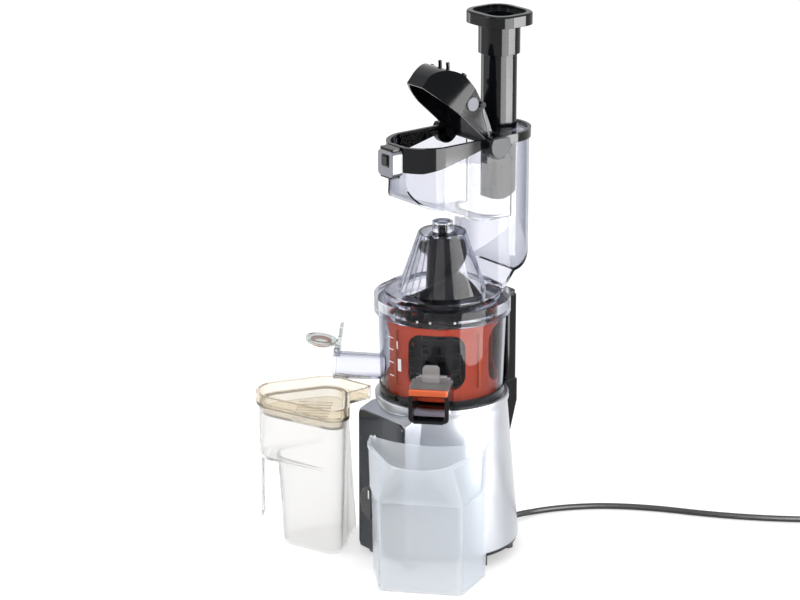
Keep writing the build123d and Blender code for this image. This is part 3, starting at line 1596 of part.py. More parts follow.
with BuildPart() as pusher:
    with BuildSketch(Plane.XY.offset(pusher_bottom)):
        with Locations((0, pusher_y)):
            RectangleRounded(pusher_size, pusher_size, pusher_corner)
    extrude(amount=pusher_plate_bottom - pusher_bottom)
    with BuildSketch(Plane.XY.offset(sleeve_bottom)):
        with Locations((0, pusher_y)):
            RectangleRounded(sleeve_size, sleeve_size, pusher_corner + 3)
    extrude(amount=sleeve_height)
    with BuildSketch(Plane.XY.offset(pusher_plate_bottom)):
        with Locations((0, pusher_y)):
            RectangleRounded(plate_x, plate_y, plate_y * 0.36)
    extrude(amount=plate_height)
    fillet(pusher.faces().sort_by(Axis.Z)[-1].edges(), 2.0)
    # dished top
    with BuildSketch(Plane.XY.offset(pusher_plate_bottom + plate_height - plate_dish)):
        with Locations((0, pusher_y)):
            RectangleRounded(plate_x - 3 * plate_dish, plate_y - 3 * plate_dish, plate_y * 0.26)
    extrude(amount=plate_dish, mode=Mode.SUBTRACT)
    # hollow inside, open at the top
    with BuildSketch(Plane.XY.offset(pusher_bottom + 6 * pusher_wall)):
        with Locations((0, pusher_y)):
            RectangleRounded(pusher_size - 2 * pusher_wall, pusher_size - 2 * pusher_wall, pusher_corner - pusher_wall)
    extrude(amount=pusher_plate_bottom + plate_height - pusher_bottom - 6 * pusher_wall, mode=Mode.SUBTRACT)
    # lower end follows the tube's rounded floor when pushed right down
    lower = pusher_travel + 1.0
    low_start = boot_point(boot_radius - wall, -30)
    low_mid = boot_point(boot_radius - wall, 25)
    low_end = boot_point(boot_radius - wall, 72)
    with BuildSketch(Plane.YZ):
        with BuildLine():
            ThreePointArc((low_start[0], low_start[1] + lower), (low_mid[0], low_mid[1] + lower),
                          (low_end[0], low_end[1] + lower))
            Polyline((low_end[0], low_end[1] + lower), (low_end[0], pusher_bottom - pusher_size),
                     (low_start[0], pusher_bottom - pusher_size), (low_start[0], low_start[1] + lower))
        make_face()
    extrude(amount=pusher_size, both=True, mode=Mode.SUBTRACT)


# ---------------------------------------------------------------- juice jug

def round_hull(rounds):
    """Plan that wraps rounds given as (along, across, radius), in counter-clockwise order."""
    centres = [Vector(side, -out, 0) for out, side, _ in rounds]
    radii = [radius for _, _, radius in rounds]
    count = len(rounds)
    normals = []
    for here in range(count):
        after = (here + 1) % count
        run = centres[after] - centres[here]
        lean = (radii[here] - radii[after]) / run.length
        way = run.normalized()
        normals.append(Vector(way.Y, -way.X, 0) * math.sqrt(1 - lean ** 2) + way * lean)
    with BuildSketch(Plane.XY) as plan:
        with BuildLine():
            for here in range(count):
                after = (here + 1) % count
                middle = (normals[here] + normals[after]).normalized()
                arrive = centres[after] + normals[here] * radii[after]
                Line(centres[here] + normals[here] * radii[here], arrive)
                ThreePointArc(arrive, centres[after] + middle * radii[after],
                              centres[after] + normals[after] * radii[after])
        make_face()
    return plan.sketch


def jug_plan(z, inset, rooted):
    """Jug's plan at a height; the rooted plan reaches out to the handle's root."""
    share = min(z, jug_height) / jug_height
    rounds = []
    for low, high in zip(jug_rounds_bottom, jug_rounds_top):
        out, side, radius = [a + (b - a) * share for a, b in zip(low, high)]
        rounds.append((out, side, radius - inset))
    if rooted:
        rounds[0] = (jug_root[0], jug_root[1], jug_root[2] - inset)
    return round_hull(rounds)


def jug_form(inset, bottom, top, rooted):
    """Jug's outside between two heights, hollowed towards the base, drawn in by the inset."""
    with BuildPart() as form:
        for z in (bottom, top):
            with BuildSketch(level(spout_angle, z)):
                add(jug_plan(z, inset, rooted))
        loft()
        with BuildSketch(Plane.XY.offset(bottom)):
            Circle(jug_clear + jug_rim_lip + inset)
        extrude(amount=top - bottom, mode=Mode.SUBTRACT)
    return form.part


def jug_strap():
    """Hanging strap handle, open below and tapered to its tip."""
    out, side, radius = jug_root
    root_top = jug_root_z + jug_wall / 2
    with BuildPart() as form:
        with BuildSketch(level(spout_angle, strap_low)):
            with Locations((side, -out)):
                Circle(radius - gap)
        extrude(amount=root_top - strap_low)
        upright = Plane(origin=across(spout_angle) * side, x_dir=direction(spout_angle),
                        z_dir=-across(spout_angle))
        with BuildSketch(upright):
            with BuildLine():
                Polyline(
                    (out + radius - strap_thickness, root_top),
                    (out + 2 * radius, root_top),
                    (out + 2 * radius, strap_low),
                    (out + radius - strap_tip, strap_low),
                    (out + radius - strap_thickness, strap_low + strap_taper),
                    close=True,
                )
            make_face()
        extrude(amount=strap_half_width, both=True, mode=Mode.INTERSECT)
    return form.part


def beak_plan(inset):
    """Plan of the pouring beak that reaches in towards the base."""
    tip = beak_tip + inset
    with BuildSketch(Plane.XY) as plan:
        with BuildLine():
            Polyline(
                (-beak_side - beak_rear_half + inset, -beak_root - inset / 2),
                (-beak_side - beak_tip_half + inset / 2, -tip),
                (-beak_side + beak_tip_half - inset / 2, -tip),
                (-beak_side + beak_front_half - inset, -beak_root - inset / 2),
                close=True,
            )
        make_face()
    return plan.sketch


with BuildPart() as juice_jug:
    add(jug_form(0, 0, jug_root_z, False))
    add(jug_form(0, jug_root_z, jug_height, True))
    add(jug_form(jug_wall, jug_floor, jug_root_z + jug_wall, False), mode=Mode.SUBTRACT)
    add(jug_form(jug_wall, jug_root_z + jug_wall, jug_height, True), mode=Mode.SUBTRACT)
    add(jug_strap())

with BuildPart() as jug_lid:
    # rim with a lip that covers the jug's edge
    with BuildSketch(level(spout_angle, jug_height)):
        add(jug_plan(jug_height, -jug_rim_lip, True))
        Circle(jug_clear, mode=Mode.SUBTRACT)
        add(beak_plan(0))
    extrude(amount=jug_rim_height)
    add(jug_form(jug_wall + jug_tray_gap, jug_tray_bottom, jug_height, True))
    # hollow rim, hollow beak and hollow tray
    add(jug_form(0, jug_height + jug_wall, jug_height + jug_rim_height + 1, True), mode=Mode.SUBTRACT)
    add(jug_form(2 * jug_wall + jug_tray_gap, jug_tray_bottom + jug_wall, jug_height + jug_wall + 1, True),
        mode=Mode.SUBTRACT)
    with BuildSketch(level(spout_angle, jug_height + jug_wall)):
        add(beak_plan(jug_rim_lip))
    extrude(amount=jug_rim_height, mode=Mode.SUBTRACT)
    # froth strainer: slots through the tray's floor
    with BuildSketch(level(spout_angle, jug_tray_bottom)):
        with Locations((0, -froth_slot_middle)):
            with GridLocations(8, 0, froth_slots, 1):
                SlotOverall(froth_slot_length, 3, rotation=90)
    extrude(amount=jug_wall, mode=Mode.SUBTRACT)


# ---------------------------------------------------------------- pulp container

def pulp_lower(inset, bottom, top):
    """Faceted lower part with a flat front, drawn in by the inset."""
    with BuildPart() as form:
        for z in (bottom, top):
            share = z / pulp_ledge
            back_half = pulp_back_half + 2.0 * share - inset
            front_half = pulp_front_half + share - inset
            front = pulp_front + pulp_front_lean * share - inset
            with BuildSketch(level(pulp_angle, z)) as plan:
                with BuildLine():
                    Polyline(
                        (-back_half, -pulp_near),
                        (back_half, -pulp_near),
                        (front_half, -front),
                        (-front_half, -front),
                        close=True,
                    )
                make_face()
                fillet(plan.vertices().sort_by(Axis.Y)[:2], pulp_corner - inset)
        loft()
    return form.part


def pulp_upper(inset, bottom, top):
    """Rounded upper part that reaches further out at the rim, drawn in by the inset."""
    with BuildPart() as form:
        for z in (bottom, top):
            share = (z - pulp_ledge) / (pulp_height - pulp_ledge)
            near, shoulder, front, front_half, corner = [
                low + (high - low) * share
                for low, high in (pulp_upper_near, pulp_upper_shoulder, pulp_upper_front,
                                  pulp_upper_front_half, pulp_upper_corner)
            ]
            with BuildSketch(level(pulp_angle, z)) as plan:
                with BuildLine():
                    Polyline(
                        (-near + inset, -pulp_near),
                        (near - inset, -pulp_near),
                        (shoulder - inset, -pulp_shoulder_along),
                        (front_half - inset, -front + inset),
                        (-front_half + inset, -front + inset),
                        (-shoulder + inset, -pulp_shoulder_along),
                        close=True,
                    )
                make_face()
                fillet(plan.vertices().sort_by(Axis.Y)[:4], corner - inset)
        loft()
    return form.part


def pulp_inside():
    """Hollow of the container."""
    with BuildPart() as form:
        add(pulp_lower(pulp_wall, pulp_wall, pulp_ledge + pulp_wall + 0.5))
        add(pulp_upper(pulp_wall, pulp_ledge + pulp_wall, pulp_height + 1))
        with BuildSketch(Plane.XY):
            Circle(pulp_clear + pulp_wall)
        extrude(amount=pulp_height + 1, mode=Mode.SUBTRACT)
    return form.part


with BuildPart() as pulp_container:
    add(pulp_lower(0, 0, pulp_ledge))
    add(pulp_upper(0, pulp_ledge, pulp_height))
    add(pulp_upper(-pulp_lip, pulp_height - pulp_lip_height, pulp_height))
    with BuildSketch(Plane.XY):
        Circle(pulp_clear)
    extrude(amount=pulp_height, mode=Mode.SUBTRACT)
    add(pulp_inside(), mode=Mode.SUBTRACT)


# ---------------------------------------------------------------- mains cord

def route_radii(points):
    """Radius of each arc on a route: as large as the two runs beside it allow."""
    radii = []
    for before, here, after in zip(points, points[1:], points[2:]):
        run_in = Vector(*here) - Vector(*before)
        run_out = Vector(*after) - Vector(*here)
        turn = math.radians(run_in.get_angle(run_out))
        radii.append(0.45 * min(run_in.length, run_out.length) / math.tan(turn / 2))
    return radii


cord_radii = route_radii(cord_route)
print("cord arc radii:", [round(radius, 1) for radius in cord_radii])
cord_exit = Vector(*cord_route[0])
cord_end = Vector(*cord_route[-1])
cord_heading = (cord_end - Vector(*cord_route[-2])).normalized()
coil_lane = coil_turn_radius + cord_radius
coil_centre = cord_end + cord_heading * coil_entry + Vector(-cord_heading.Y, cord_heading.X, 0) * coil_lane
coil_floor = cord_end.Z - cord_radius

with BuildPart() as strain_relief:
    # clamp block under the plate, then the tapered sleeve
    with BuildSketch(Plane.XZ.offset(relief_length - cord_exit.Y)):
        with Locations((0, (cord_exit.Z - relief_radius + plate_bottom) / 2)):
            Rectangle(2 * relief_radius + 6, plate_bottom - cord_exit.Z + relief_radius)
    extrude(amount=relief_block)
    with BuildSketch(Plane.XZ.offset(relief_length - cord_exit.Y)):
        with Locations((0, cord_exit.Z)):
            Circle(relief_radius)
    with BuildSketch(Plane.XZ.offset(-cord_exit.Y)):
        with Locations((0, cord_exit.Z)):
            Circle(cord_radius + 0.6)
    loft()

with BuildPart() as cord_lead:
    with BuildLine() as lead_line:
        FilletPolyline(*cord_route, radius=cord_radii)
    with BuildSketch(Plane(origin=cord_exit, z_dir=Vector(*cord_route[1]) - cord_exit)):
        Circle(cord_radius)
    sweep(path=lead_line.line)

with BuildPart() as cord_coil:
    with BuildSketch(Plane(origin=(coil_centre.X, coil_centre.Y, coil_floor), x_dir=(1, 0, 0), z_dir=(0, -1, 0))):
        with Locations((coil_turn_radius, 2 * cord_radius)):
            RectangleRounded(4 * cord_radius, 4 * cord_radius, cord_radius * 0.98)
    revolve(axis=Axis(origin=(coil_centre.X, coil_centre.Y, 0), direction=(0, 0, 1)))

coil_end = math.radians(coil_end_angle)
plug_out = Vector(-math.sin(coil_end), math.cos(coil_end), 0)
plug_origin = coil_centre + Vector(math.cos(coil_end), math.sin(coil_end), 0) * coil_lane
plug_origin = Vector(plug_origin.X, plug_origin.Y, plug_height / 2 + coil_floor)


def plug_plane(distance):
    """Plane square to the plug's axis, at a distance past the end of the coil."""
    return Plane(origin=plug_origin + plug_out * distance, x_dir=(-plug_out.Y, plug_out.X, 0), z_dir=plug_out)


with BuildPart() as cord_plug:
    with BuildSketch(plug_plane(plug_start)):
        Circle(cord_radius + 0.6)
    with BuildSketch(plug_plane(plug_start + plug_relief_length)):
        Circle(cord_radius * 1.9)
    loft()
    with BuildSketch(plug_plane(plug_start + plug_relief_length)):
        RectangleRounded(plug_width, plug_height, plug_height * 0.4)
    extrude(amount=plug_body_length)
    with BuildSketch(plug_plane(plug_start + plug_relief_length + plug_body_length)):
        with GridLocations(2 * pin_spread, 0, 2, 1):
            Circle(pin_radius)
    extrude(amount=pin_length)


# ---------------------------------------------------------------- export

pieces = {
    "base_housing": base_housing,
    "bottom_plate": bottom_plate,
    "feet": feet,
    "bottom_screws": bottom_screws,
    "bowl_collar": bowl_collar,
    "front_panel": front_panel,
    "knob_bezel": knob_bezel,
    "control_knob": control_knob,
    "knob_shaft": knob_shaft,
    "rotary_switch": rotary_switch,
    "control_board": control_board,
    "column_base": column_base,
    "interlock_post": interlock_post,
    "column_cap": column_cap,
    "interlock_switch": interlock_switch,
    "motor_can": motor_can,
    "motor_rotor": motor_rotor,
    "cooling_fan": cooling_fan,
    "motor_pinion": motor_pinion,
    "gearbox_tray": gearbox_tray,
    "gearbox_cover": gearbox_cover,
    "stage_pin": stage_pin,
    "stage_gear": stage_gear,
    "drive_gear": drive_gear,
    "drive_shaft": drive_shaft,
    "shaft_bearings": shaft_bearings,
    "juice_bowl": juice_bowl,
    "bowl_pins": bowl_pins,
    "bowl_foot_ring": bowl_foot_ring,
    "hub_seal": hub_seal,
    "outlet_frame": outlet_frame,
    "spout_cap": spout_cap,
    "spout_seal": spout_seal,
    "pulp_gate": pulp_gate,
    "gate_seal": gate_seal,
    "spin_idler": spin_idler,
    "spin_pin": spin_pin,
    "brush_cage": brush_cage,
    "wiper_blades": wiper_blades,
    "strainer": strainer,
    "auger": auger,
    "hopper_lid": hopper_lid,
    "feed_scoop": feed_scoop,
    "hopper_rim": hopper_rim,
    "hinge_brackets": hinge_brackets,
    "hinge_caps": hinge_caps,
    "feed_hood": feed_hood,
    "hood_discs": hood_discs,
    "latch_block": latch_block,
    "latch_cap": latch_cap,
    "latch_button": latch_button,
    "pusher_guide": pusher_guide,
    "pusher": pusher,
    "juice_jug": juice_jug,
    "jug_lid": jug_lid,
    "pulp_container": pulp_container,
    "strain_relief": strain_relief,
    "cord_lead": cord_lead,
    "cord_coil": cord_coil,
    "cord_plug": cord_plug,
}
for name, piece in pieces.items():
    piece.part.label = name
    export_step(piece.part, f"parts/{name}.step")
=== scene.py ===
import bpy
import bmesh
import json
import math
from mathutils import Matrix, Vector


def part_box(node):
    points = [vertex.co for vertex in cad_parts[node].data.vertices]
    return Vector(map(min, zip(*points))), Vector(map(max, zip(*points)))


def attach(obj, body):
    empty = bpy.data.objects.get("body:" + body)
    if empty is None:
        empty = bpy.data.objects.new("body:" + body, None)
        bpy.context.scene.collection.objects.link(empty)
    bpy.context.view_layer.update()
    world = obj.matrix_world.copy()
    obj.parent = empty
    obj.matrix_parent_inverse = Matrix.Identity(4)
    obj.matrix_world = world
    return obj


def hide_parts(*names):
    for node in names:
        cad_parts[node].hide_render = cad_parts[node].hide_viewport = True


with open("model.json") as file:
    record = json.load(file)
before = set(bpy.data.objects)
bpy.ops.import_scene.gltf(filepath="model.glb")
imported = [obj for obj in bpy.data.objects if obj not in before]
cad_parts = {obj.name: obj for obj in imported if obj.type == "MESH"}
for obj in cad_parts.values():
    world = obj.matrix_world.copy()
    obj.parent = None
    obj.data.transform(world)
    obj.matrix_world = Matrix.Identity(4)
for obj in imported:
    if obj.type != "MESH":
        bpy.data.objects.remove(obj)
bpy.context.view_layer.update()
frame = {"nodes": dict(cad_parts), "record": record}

# Metres, +Z up, origin on the auger's axis at worktop level, -Y towards the control panel.
# Angles are in degrees, but for COIL_END_ANGLE. Those of marks and trim round the auger's axis
# run from the front towards +X.

# ---------------------------------------------------------------- sizes used here

MM = 0.001

# printed marks
PRINT_RISE = 0.12 * MM
PRINT_STEPS = 6                 # strips across each patch, so that it follows a round face

PANEL_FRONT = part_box("front_panel")[0][1]
PANEL_MARKS = (                 # middle x and z, width and height of each mark
    (-8.4 * MM, 131 * MM, 5.0 * MM, 7.0 * MM),
    (5.3 * MM, 131 * MM, 3.0 * MM, 6.0 * MM),
    (19.8 * MM, 131 * MM, 4.0 * MM, 2.0 * MM),
    (5.3 * MM, 112.5 * MM, 4.0 * MM, 6.5 * MM),
)
MARK_ROWS = 9

KNOB_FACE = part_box("control_knob")[0][1]
KNOB_MIDDLE = 66 * MM
POINTER_START = 6 * MM          # above the knob's middle, as is its end
POINTER_END = 15 * MM
POINTER_HALF_WIDTH = 0.8 * MM

BOWL_FOOT = 168 * MM
BOWL_RIM = 258 * MM
BOWL_FOOT_RADIUS = 61.5 * MM
BOWL_RIM_RADIUS = 64.5 * MM
TICK_HEIGHTS = (236 * MM, 223.5 * MM, 210 * MM, 196 * MM)
TICK_SPAN = (-5.0, 1.5)
TICK_HALF_HEIGHT = 0.5 * MM
SCALE_BARS = (                  # the angles and the heights that each bar spans
    ((6.0, 7.4), (226 * MM, 234 * MM)),
    ((7.0, 11.0), (203 * MM, 216 * MM)),
)

FLANGE_RADIUS = 68.5 * MM
LOCK_ANGLES = (30.0, 41.0, 61.5)
LOCK_HEIGHT = 260 * MM
LOCK_HALF_SPAN = 0.9
LOCK_HALF_HEIGHT = 1.1 * MM

# raised trim
BEAD_PROUD = 0.2                # how far a bead's middle lies off its face, as a share of its radius

OUTLET_ANGLE = 44.0
TONGUE_OUT = 108.9 * MM
TONGUE_HEIGHT = 201.4 * MM
TONGUE_SIZE = (3.6 * MM, 38.0 * MM, 6.4 * MM)
TONGUE_ROUNDING = 1.6 * MM

TOWER_FOOT = 276 * MM
TOWER_HEAD = 335 * MM
TOWER_FOOT_RADIUS = 43.5 * MM
TOWER_HEAD_RADIUS = 23.5 * MM
RIB_RADIUS = 0.7 * MM
RIB_ANGLES = range(-44, 17, 12)

HOOD_PIVOT = (36 * MM, 425 * MM)    # y and z of the hinge's axis
HOOD_TILT = 42.0                # of the open hood's edge
HOOD_HALF = 32.7 * MM           # half its width
RAIL_HEIGHTS = (0.6 * MM, 3.6 * MM)     # above the hood's edge
RAIL_REACH = (10 * MM, 54 * MM)     # start and end, from the hinge's axis
RAIL_RADIUS = 0.5 * MM
RAIL_SINK = 0.1 * MM            # of the bead's middle below the hood's side

LATCH_BEAD = 0.8 * MM
LATCH_BEAD_GAP = 0.4 * MM       # between the bead and the button
LATCH_FOOT_SLIMMER = (6 * MM, 1 * MM)   # than the latch, in width and in depth
LATCH_FOOT_HEIGHT = 2.0 * MM
LATCH_FOOT_DROP = 0.9 * MM      # of its middle below the latch
LATCH_FOOT_ROUNDING = 0.8 * MM

# camera
CAMERA_PLACE = (2.29258, -1.85650, 1.205)
CAMERA_AIM = (-0.74880, 0.58879, -0.30436)
CAMERA_LENS = 139.32            # millimetres, as is the sensor
SENSOR_WIDTH = 36.0

# mains cord; its route is part.py's, and the coil and the plug's seat are worked out below
CORD_DIAMETER = 6.4 * MM
CORD_ROUTE = (
    (0.000, 0.092, 0.0070),
    (0.000, 0.106, 0.0070),
    (-0.003, 0.121, 0.0040),
    (0.000, 0.139, 0.0035),
    (0.010, 0.164, 0.0035),
    (0.030, 0.197, 0.0035),
    (0.067, 0.233, 0.0035),
    (0.119, 0.268, 0.0035),
    (0.167, 0.310, 0.0035),
    (0.206, 0.355, 0.0035),
)
COIL_TURNS = 3                  # full ones, before a part of another
COIL_TURN_RADIUS = 35 * MM
COIL_ENTRY = 16 * MM            # straight on from the route's end
COIL_END_ANGLE = math.radians(75)   # in radians, from +X towards +Y
COIL_POINTS_PER_TURN = 16
LANE_CHANGE = 0.2               # share of a turn in which the cord moves over to its next lane
LEAVE_REACH = 8 * MM            # straight on from the coil's end
LEAVE_SAG = 0.6 * MM
PLUG_START = 20 * MM
PLUG_HEIGHT = 13.7 * MM
CORD_IN_PLUG = 8 * MM

# floor, surroundings and lamps
FLOOR_REACH = 30
FLOOR_GREY = 0.62
FLOOR_GLOW = 0.48               # for rays that show the floor as the picture's background
CAMERA_SIDE = (0.777, -0.629, -0.25)
DIMMING_RANGE = (-0.1, 0.75)    # of a direction's dot product with CAMERA_SIDE
BRIGHT_SKY = 0.95
DIM_SKY = 0.4
LAMP_AIM = (0, 0, 0.28)
LAMPS = (                       # name, place, width and height, power
    ("key", (-1.5, -1.9, 1.5), (1.0, 1.6), 20),
    ("side", (2.2, 0.9, 1.1), (0.7, 1.6), 7),
    ("top", (0.2, -0.2, 2.4), (1.6, 1.6), 12),
    ("front", (1.7, -1.9, 1.6), (1.6, 1.6), 16),
)
CARDS = (                       # the arguments of add_card
    ("card_right", 14.5, 0.50, 0.42, 0.03, 0.60, 14.0, 0.0),
    ("card_pusher", 38.2, 0.58, 0.06, 0.15, 0.60, 24.0, 0.045),
    ("card_rim", 38.2, 0.58, 0.07, 0.15, 0.262, 20.0, -0.010),
    ("card_left", 200.0, 0.60, 0.18, 0.05, 0.60, 4.0, 0.0),
)

# ---------------------------------------------------------------- finishes

PLASTICS = (                    # name, colour, gloss range, grain's scale and depth, further sockets
    ("black_matte", (0.014, 0.014, 0.016), (0.38, 0.5), (900, 0.0004), {"Specular_IOR_Level": 0.25}),
    ("black_gloss", (0.005, 0.0055, 0.007), (0.06, 0.11), (60, 0.00005), {"Specular_IOR_Level": 0.2}),
    ("panel_gloss", (0.026, 0.031, 0.038), (0.05, 0.09), (30, 0.00003), {"Specular_IOR_Level": 0.5}),
    ("knob_black", (0.02, 0.02, 0.022), (0.2, 0.3), (500, 0.0002), {}),
    ("orange_silicone", (0.72, 0.10, 0.012), (0.42, 0.55), (350, 0.0003), {"Subsurface_Weight": 0.15}),
    # dark copy of the orange silicone: painted shade on the seal where it lies under the gate's plate
    ("seal_painted_shade", (0.10, 0.06, 0.05), (0.42, 0.55), (350, 0.0003), {}),
    ("cage_red", (0.62, 0.055, 0.01), (0.25, 0.35), (200, 0.0001), {"Specular_IOR_Level": 0.3}),
    ("strainer_black", (0.007, 0.007, 0.008), (0.3, 0.42), (700, 0.0003), {"Specular_IOR_Level": 0.15}),
    ("auger_black", (0.006, 0.006, 0.008), (0.12, 0.2), (120, 0.0001), {"Specular_IOR_Level": 0.2}),
    ("gear_white", (0.72, 0.7, 0.62), (0.4, 0.5), (500, 0.0002), {}),
    ("board_green", (0.02, 0.12, 0.05), (0.4, 0.5), (300, 0.0002), {}),
    ("inner_grey", (0.22, 0.23, 0.25), (0.45, 0.55), (600, 0.0003), {}),
    ("foot_rubber", (0.015, 0.015, 0.016), (0.6, 0.75), (800, 0.0004), {}),
    ("disc_grey", (0.10, 0.105, 0.11), (0.35, 0.45), (300, 0.0001), {"Specular_IOR_Level": 0.15}),
    ("disc_pale", (0.27, 0.28, 0.31), (0.4, 0.5), (300, 0.0001), {"Specular_IOR_Level": 0.15}),
    ("latch_silver", (0.24, 0.25, 0.275), (0.18, 0.26), (300, 0.0001),
     {"Metallic": 0.3, "Specular_IOR_Level": 0.3}),
)
SOFT_EDGE = 0.0006              # rounding that the plastics' sharp edges seem to have
SHARP_PLASTICS = (              # the same, without that rounding
    ("cord_black", (0.012, 0.012, 0.013), (0.35, 0.45), (900, 0.0002), {}),
    ("mark_white", (0.80, 0.80, 0.80), (0.4, 0.5), (900, 0.0001), {}),
)
METALS = (                      # name, colour, gloss range
    ("satin_metal", (0.6, 0.61, 0.63), (0.22, 0.3)),
    ("steel", (0.5, 0.5, 0.51), (0.25, 0.4)),
    ("bronze", (0.55, 0.36, 0.15), (0.3, 0.42)),
    ("chrome_trim", (0.78, 0.79, 0.8), (0.05, 0.1)),
)
# Slanted-wall and edge colours are painted shade, but pulp_blue's edge is a painted highlight; jug_amber's
# deeper amber there is partly its real tint seen through more plastic, partly painted shade.
CLEAR_PLASTICS = (              # name; colour of face, painted shade of a slanted wall, painted edge band; roughness, IOR, transmission
    ("clear_plastic", (0.88, 0.885, 0.93), (0.10, 0.12, 0.19), (0.26, 0.28, 0.38), 0.02, 1.22, 1.0),
    ("smoke_plastic", (0.52, 0.54, 0.57), (0.18, 0.19, 0.21), (0.14, 0.15, 0.17), 0.05, 1.25, 1.0),
    ("gate_clear", (0.72, 0.69, 0.69), (0.40, 0.38, 0.39), (0.55, 0.54, 0.55), 0.04, 1.2, 0.7),
    ("cap_clear", (0.74, 0.79, 0.77), (0.22, 0.26, 0.26), (0.30, 0.34, 0.33), 0.04, 1.25, 0.85),
    ("jug_frost", (0.985, 0.982, 0.975), (0.90, 0.90, 0.90), (0.80, 0.80, 0.79), 0.25, 1.25, 0.88),
    ("jug_amber", (0.975, 0.94, 0.86), (0.66, 0.52, 0.32), (0.26, 0.15, 0.05), 0.1, 1.25, 0.94),
    ("pulp_blue", (0.955, 0.975, 1.0), (0.84, 0.90, 0.97), (0.98, 0.99, 1.0), 0.24, 1.2, 0.74),
)
USUAL_WALL_BLEND = 0.35         # how early a slanted wall takes its painted shade
WALL_BLEND = {"clear_plastic": 0.5}     # where it isn't the usual
USUAL_EDGE_WIDTH = 0.0009       # width of the painted band along a sharp edge
EDGE_WIDTH = {"jug_amber": 0.0015}      # where it isn't the usual

OWN_SHADES = {                  # nodes that look unlike the other nodes of their slot; gate_seal's is painted shade
    "pulp_gate": "gate_clear",
    "spout_cap": "cap_clear",
    "hood_discs": "disc_pale",
    "latch_block": "latch_silver",
    # painted shade: this seal is the same orange silicone as the gate's tongue
    "gate_seal": "seal_painted_shade",
}


# ---------------------------------------------------------------- camera

def make_camera():
    """The camera stands at the front right, above the juicer, and looks down at it."""
    data = bpy.data.cameras.new("camera")
    data.lens = CAMERA_LENS
    data.sensor_width = SENSOR_WIDTH
    data.clip_end = 100
    camera = bpy.data.objects.new("camera", data)
    camera.location = CAMERA_PLACE
    camera.rotation_euler = Vector(CAMERA_AIM).to_track_quat("-Z", "Y").to_euler()
    bpy.context.collection.objects.link(camera)
    bpy.context.scene.camera = camera


# ---------------------------------------------------------------- materials

def new_material(name, color, roughness, **sockets):
    """Principled material; each further value is set on the shader's socket of that name."""
    material = bpy.data.materials.new(name)
    material.use_nodes = True
    shader = shader_of(material)
    shader.inputs["Base Color"].default_value = (*color, 1)
    shader.inputs["Roughness"].default_value = roughness
    for socket, value in sockets.items():
        shader.inputs[socket.replace("_", " ")].default_value = value
    return material


def shader_of(material):
    return material.node_tree.nodes["Principled BSDF"]


def noise(material, scale, detail):
    """Noise in the object's own space, from 0 to 1."""
    place = material.node_tree.nodes.new("ShaderNodeTexCoord")
    texture = material.node_tree.nodes.new("ShaderNodeTexNoise")
    texture.inputs["Scale"].default_value = scale
    texture.inputs["Detail"].default_value = detail
    material.node_tree.links.new(place.outputs["Object"], texture.inputs["Vector"])
    return texture.outputs["Fac"]


def spread(material, value, low, high, start=0.3, end=0.7):
    """Maps a value from the start and end given to a range."""
    node = material.node_tree.nodes.new("ShaderNodeMapRange")
    node.inputs["From Min"].default_value = start
    node.inputs["From Max"].default_value = end
    node.inputs["To Min"].default_value = low
    node.inputs["To Max"].default_value = high
    material.node_tree.links.new(value, node.inputs["Value"])
    return node.outputs["Result"]


def rounded_normal(material, radius):
    """The surface's direction, as if its sharp edges were rounded."""
    bevel = material.node_tree.nodes.new("ShaderNodeBevel")
    bevel.samples = 4
    bevel.inputs["Radius"].default_value = radius
    return bevel.outputs["Normal"]


def vary_roughness(material, scale, low, high):
    """Faint smears and handling marks in the gloss."""
    result = spread(material, noise(material, scale, detail=4.0), low, high)
    material.node_tree.links.new(result, shader_of(material).inputs["Roughness"])


def add_relief(material, scale, strength, depth, edge=0.0):
    """Moulding texture as bump, with softly rounded edges where edge is set."""
    links = material.node_tree.links
    bump = material.node_tree.nodes.new("ShaderNodeBump")
    bump.inputs["Strength"].default_value = strength
    bump.inputs["Distance"].default_value = depth
    links.new(noise(material, scale, detail=2.0), bump.inputs["Height"])
    if edge:
        links.new(rounded_normal(material, edge), bump.inputs["Normal"])
    links.new(bump.outputs["Normal"], shader_of(material).inputs["Normal"])


def edge_share(material, radius):
    """1 along the sharp edges of the shape, 0 on its faces."""
    links = material.node_tree.links
    geometry = material.node_tree.nodes.new("ShaderNodeNewGeometry")
    agree = material.node_tree.nodes.new("ShaderNodeVectorMath")
    agree.operation = "DOT_PRODUCT"
    links.new(rounded_normal(material, radius), agree.inputs[0])
    links.new(geometry.outputs["Normal"], agree.inputs[1])
    return spread(material, agree.outputs["Value"], low=1.0, high=0.0, start=0.8, end=0.99)


def blend_color(material, share, first, second):
    """From the first colour to the second with the share; the first may be a node's output."""
    mix = material.node_tree.nodes.new("ShaderNodeMix")
    mix.data_type = "RGBA"
    material.node_tree.links.new(share, mix.inputs["Factor"])
    if isinstance(first, tuple):
        mix.inputs["A"].default_value = (*first, 1)
    else:
        material.node_tree.links.new(first, mix.inputs["A"])
    mix.inputs["B"].default_value = (*second, 1)
    return mix.outputs["Result"]


def silver_body():
    """Satin silver lacquer with fine flake."""
    material = new_material("silver_body", (0.42, 0.435, 0.465), 0.3, Metallic=0.85, Coat_Weight=0.25,
                            Coat_Roughness=0.2)
    vary_roughness(material, scale=60, low=0.29, high=0.36)
    add_relief(material, scale=1500, strength=0.02, depth=0.0001, edge=0.0012)
    return material


def plastic(name, color, gloss, grain, sockets, edge):
    """Moulded plastic with a fine grain."""
    smoothest, roughest = gloss
    scale, depth = grain
    material = new_material(name, color, (smoothest + roughest) / 2, **sockets)
    vary_roughness(material, scale=45, low=smoothest, high=roughest)
    add_relief(material, scale, strength=0.25, depth=depth, edge=edge)
    return material


def metal(name, color, gloss):
    """Bare or plated metal with a faint grain."""
    smoothest, roughest = gloss
    material = new_material(name, color, (smoothest + roughest) / 2, Metallic=1.0)
    vary_roughness(material, scale=80, low=smoothest, high=roughest)
    add_relief(material, scale=700, strength=0.08, depth=0.0002, edge=0.0004)
    return material


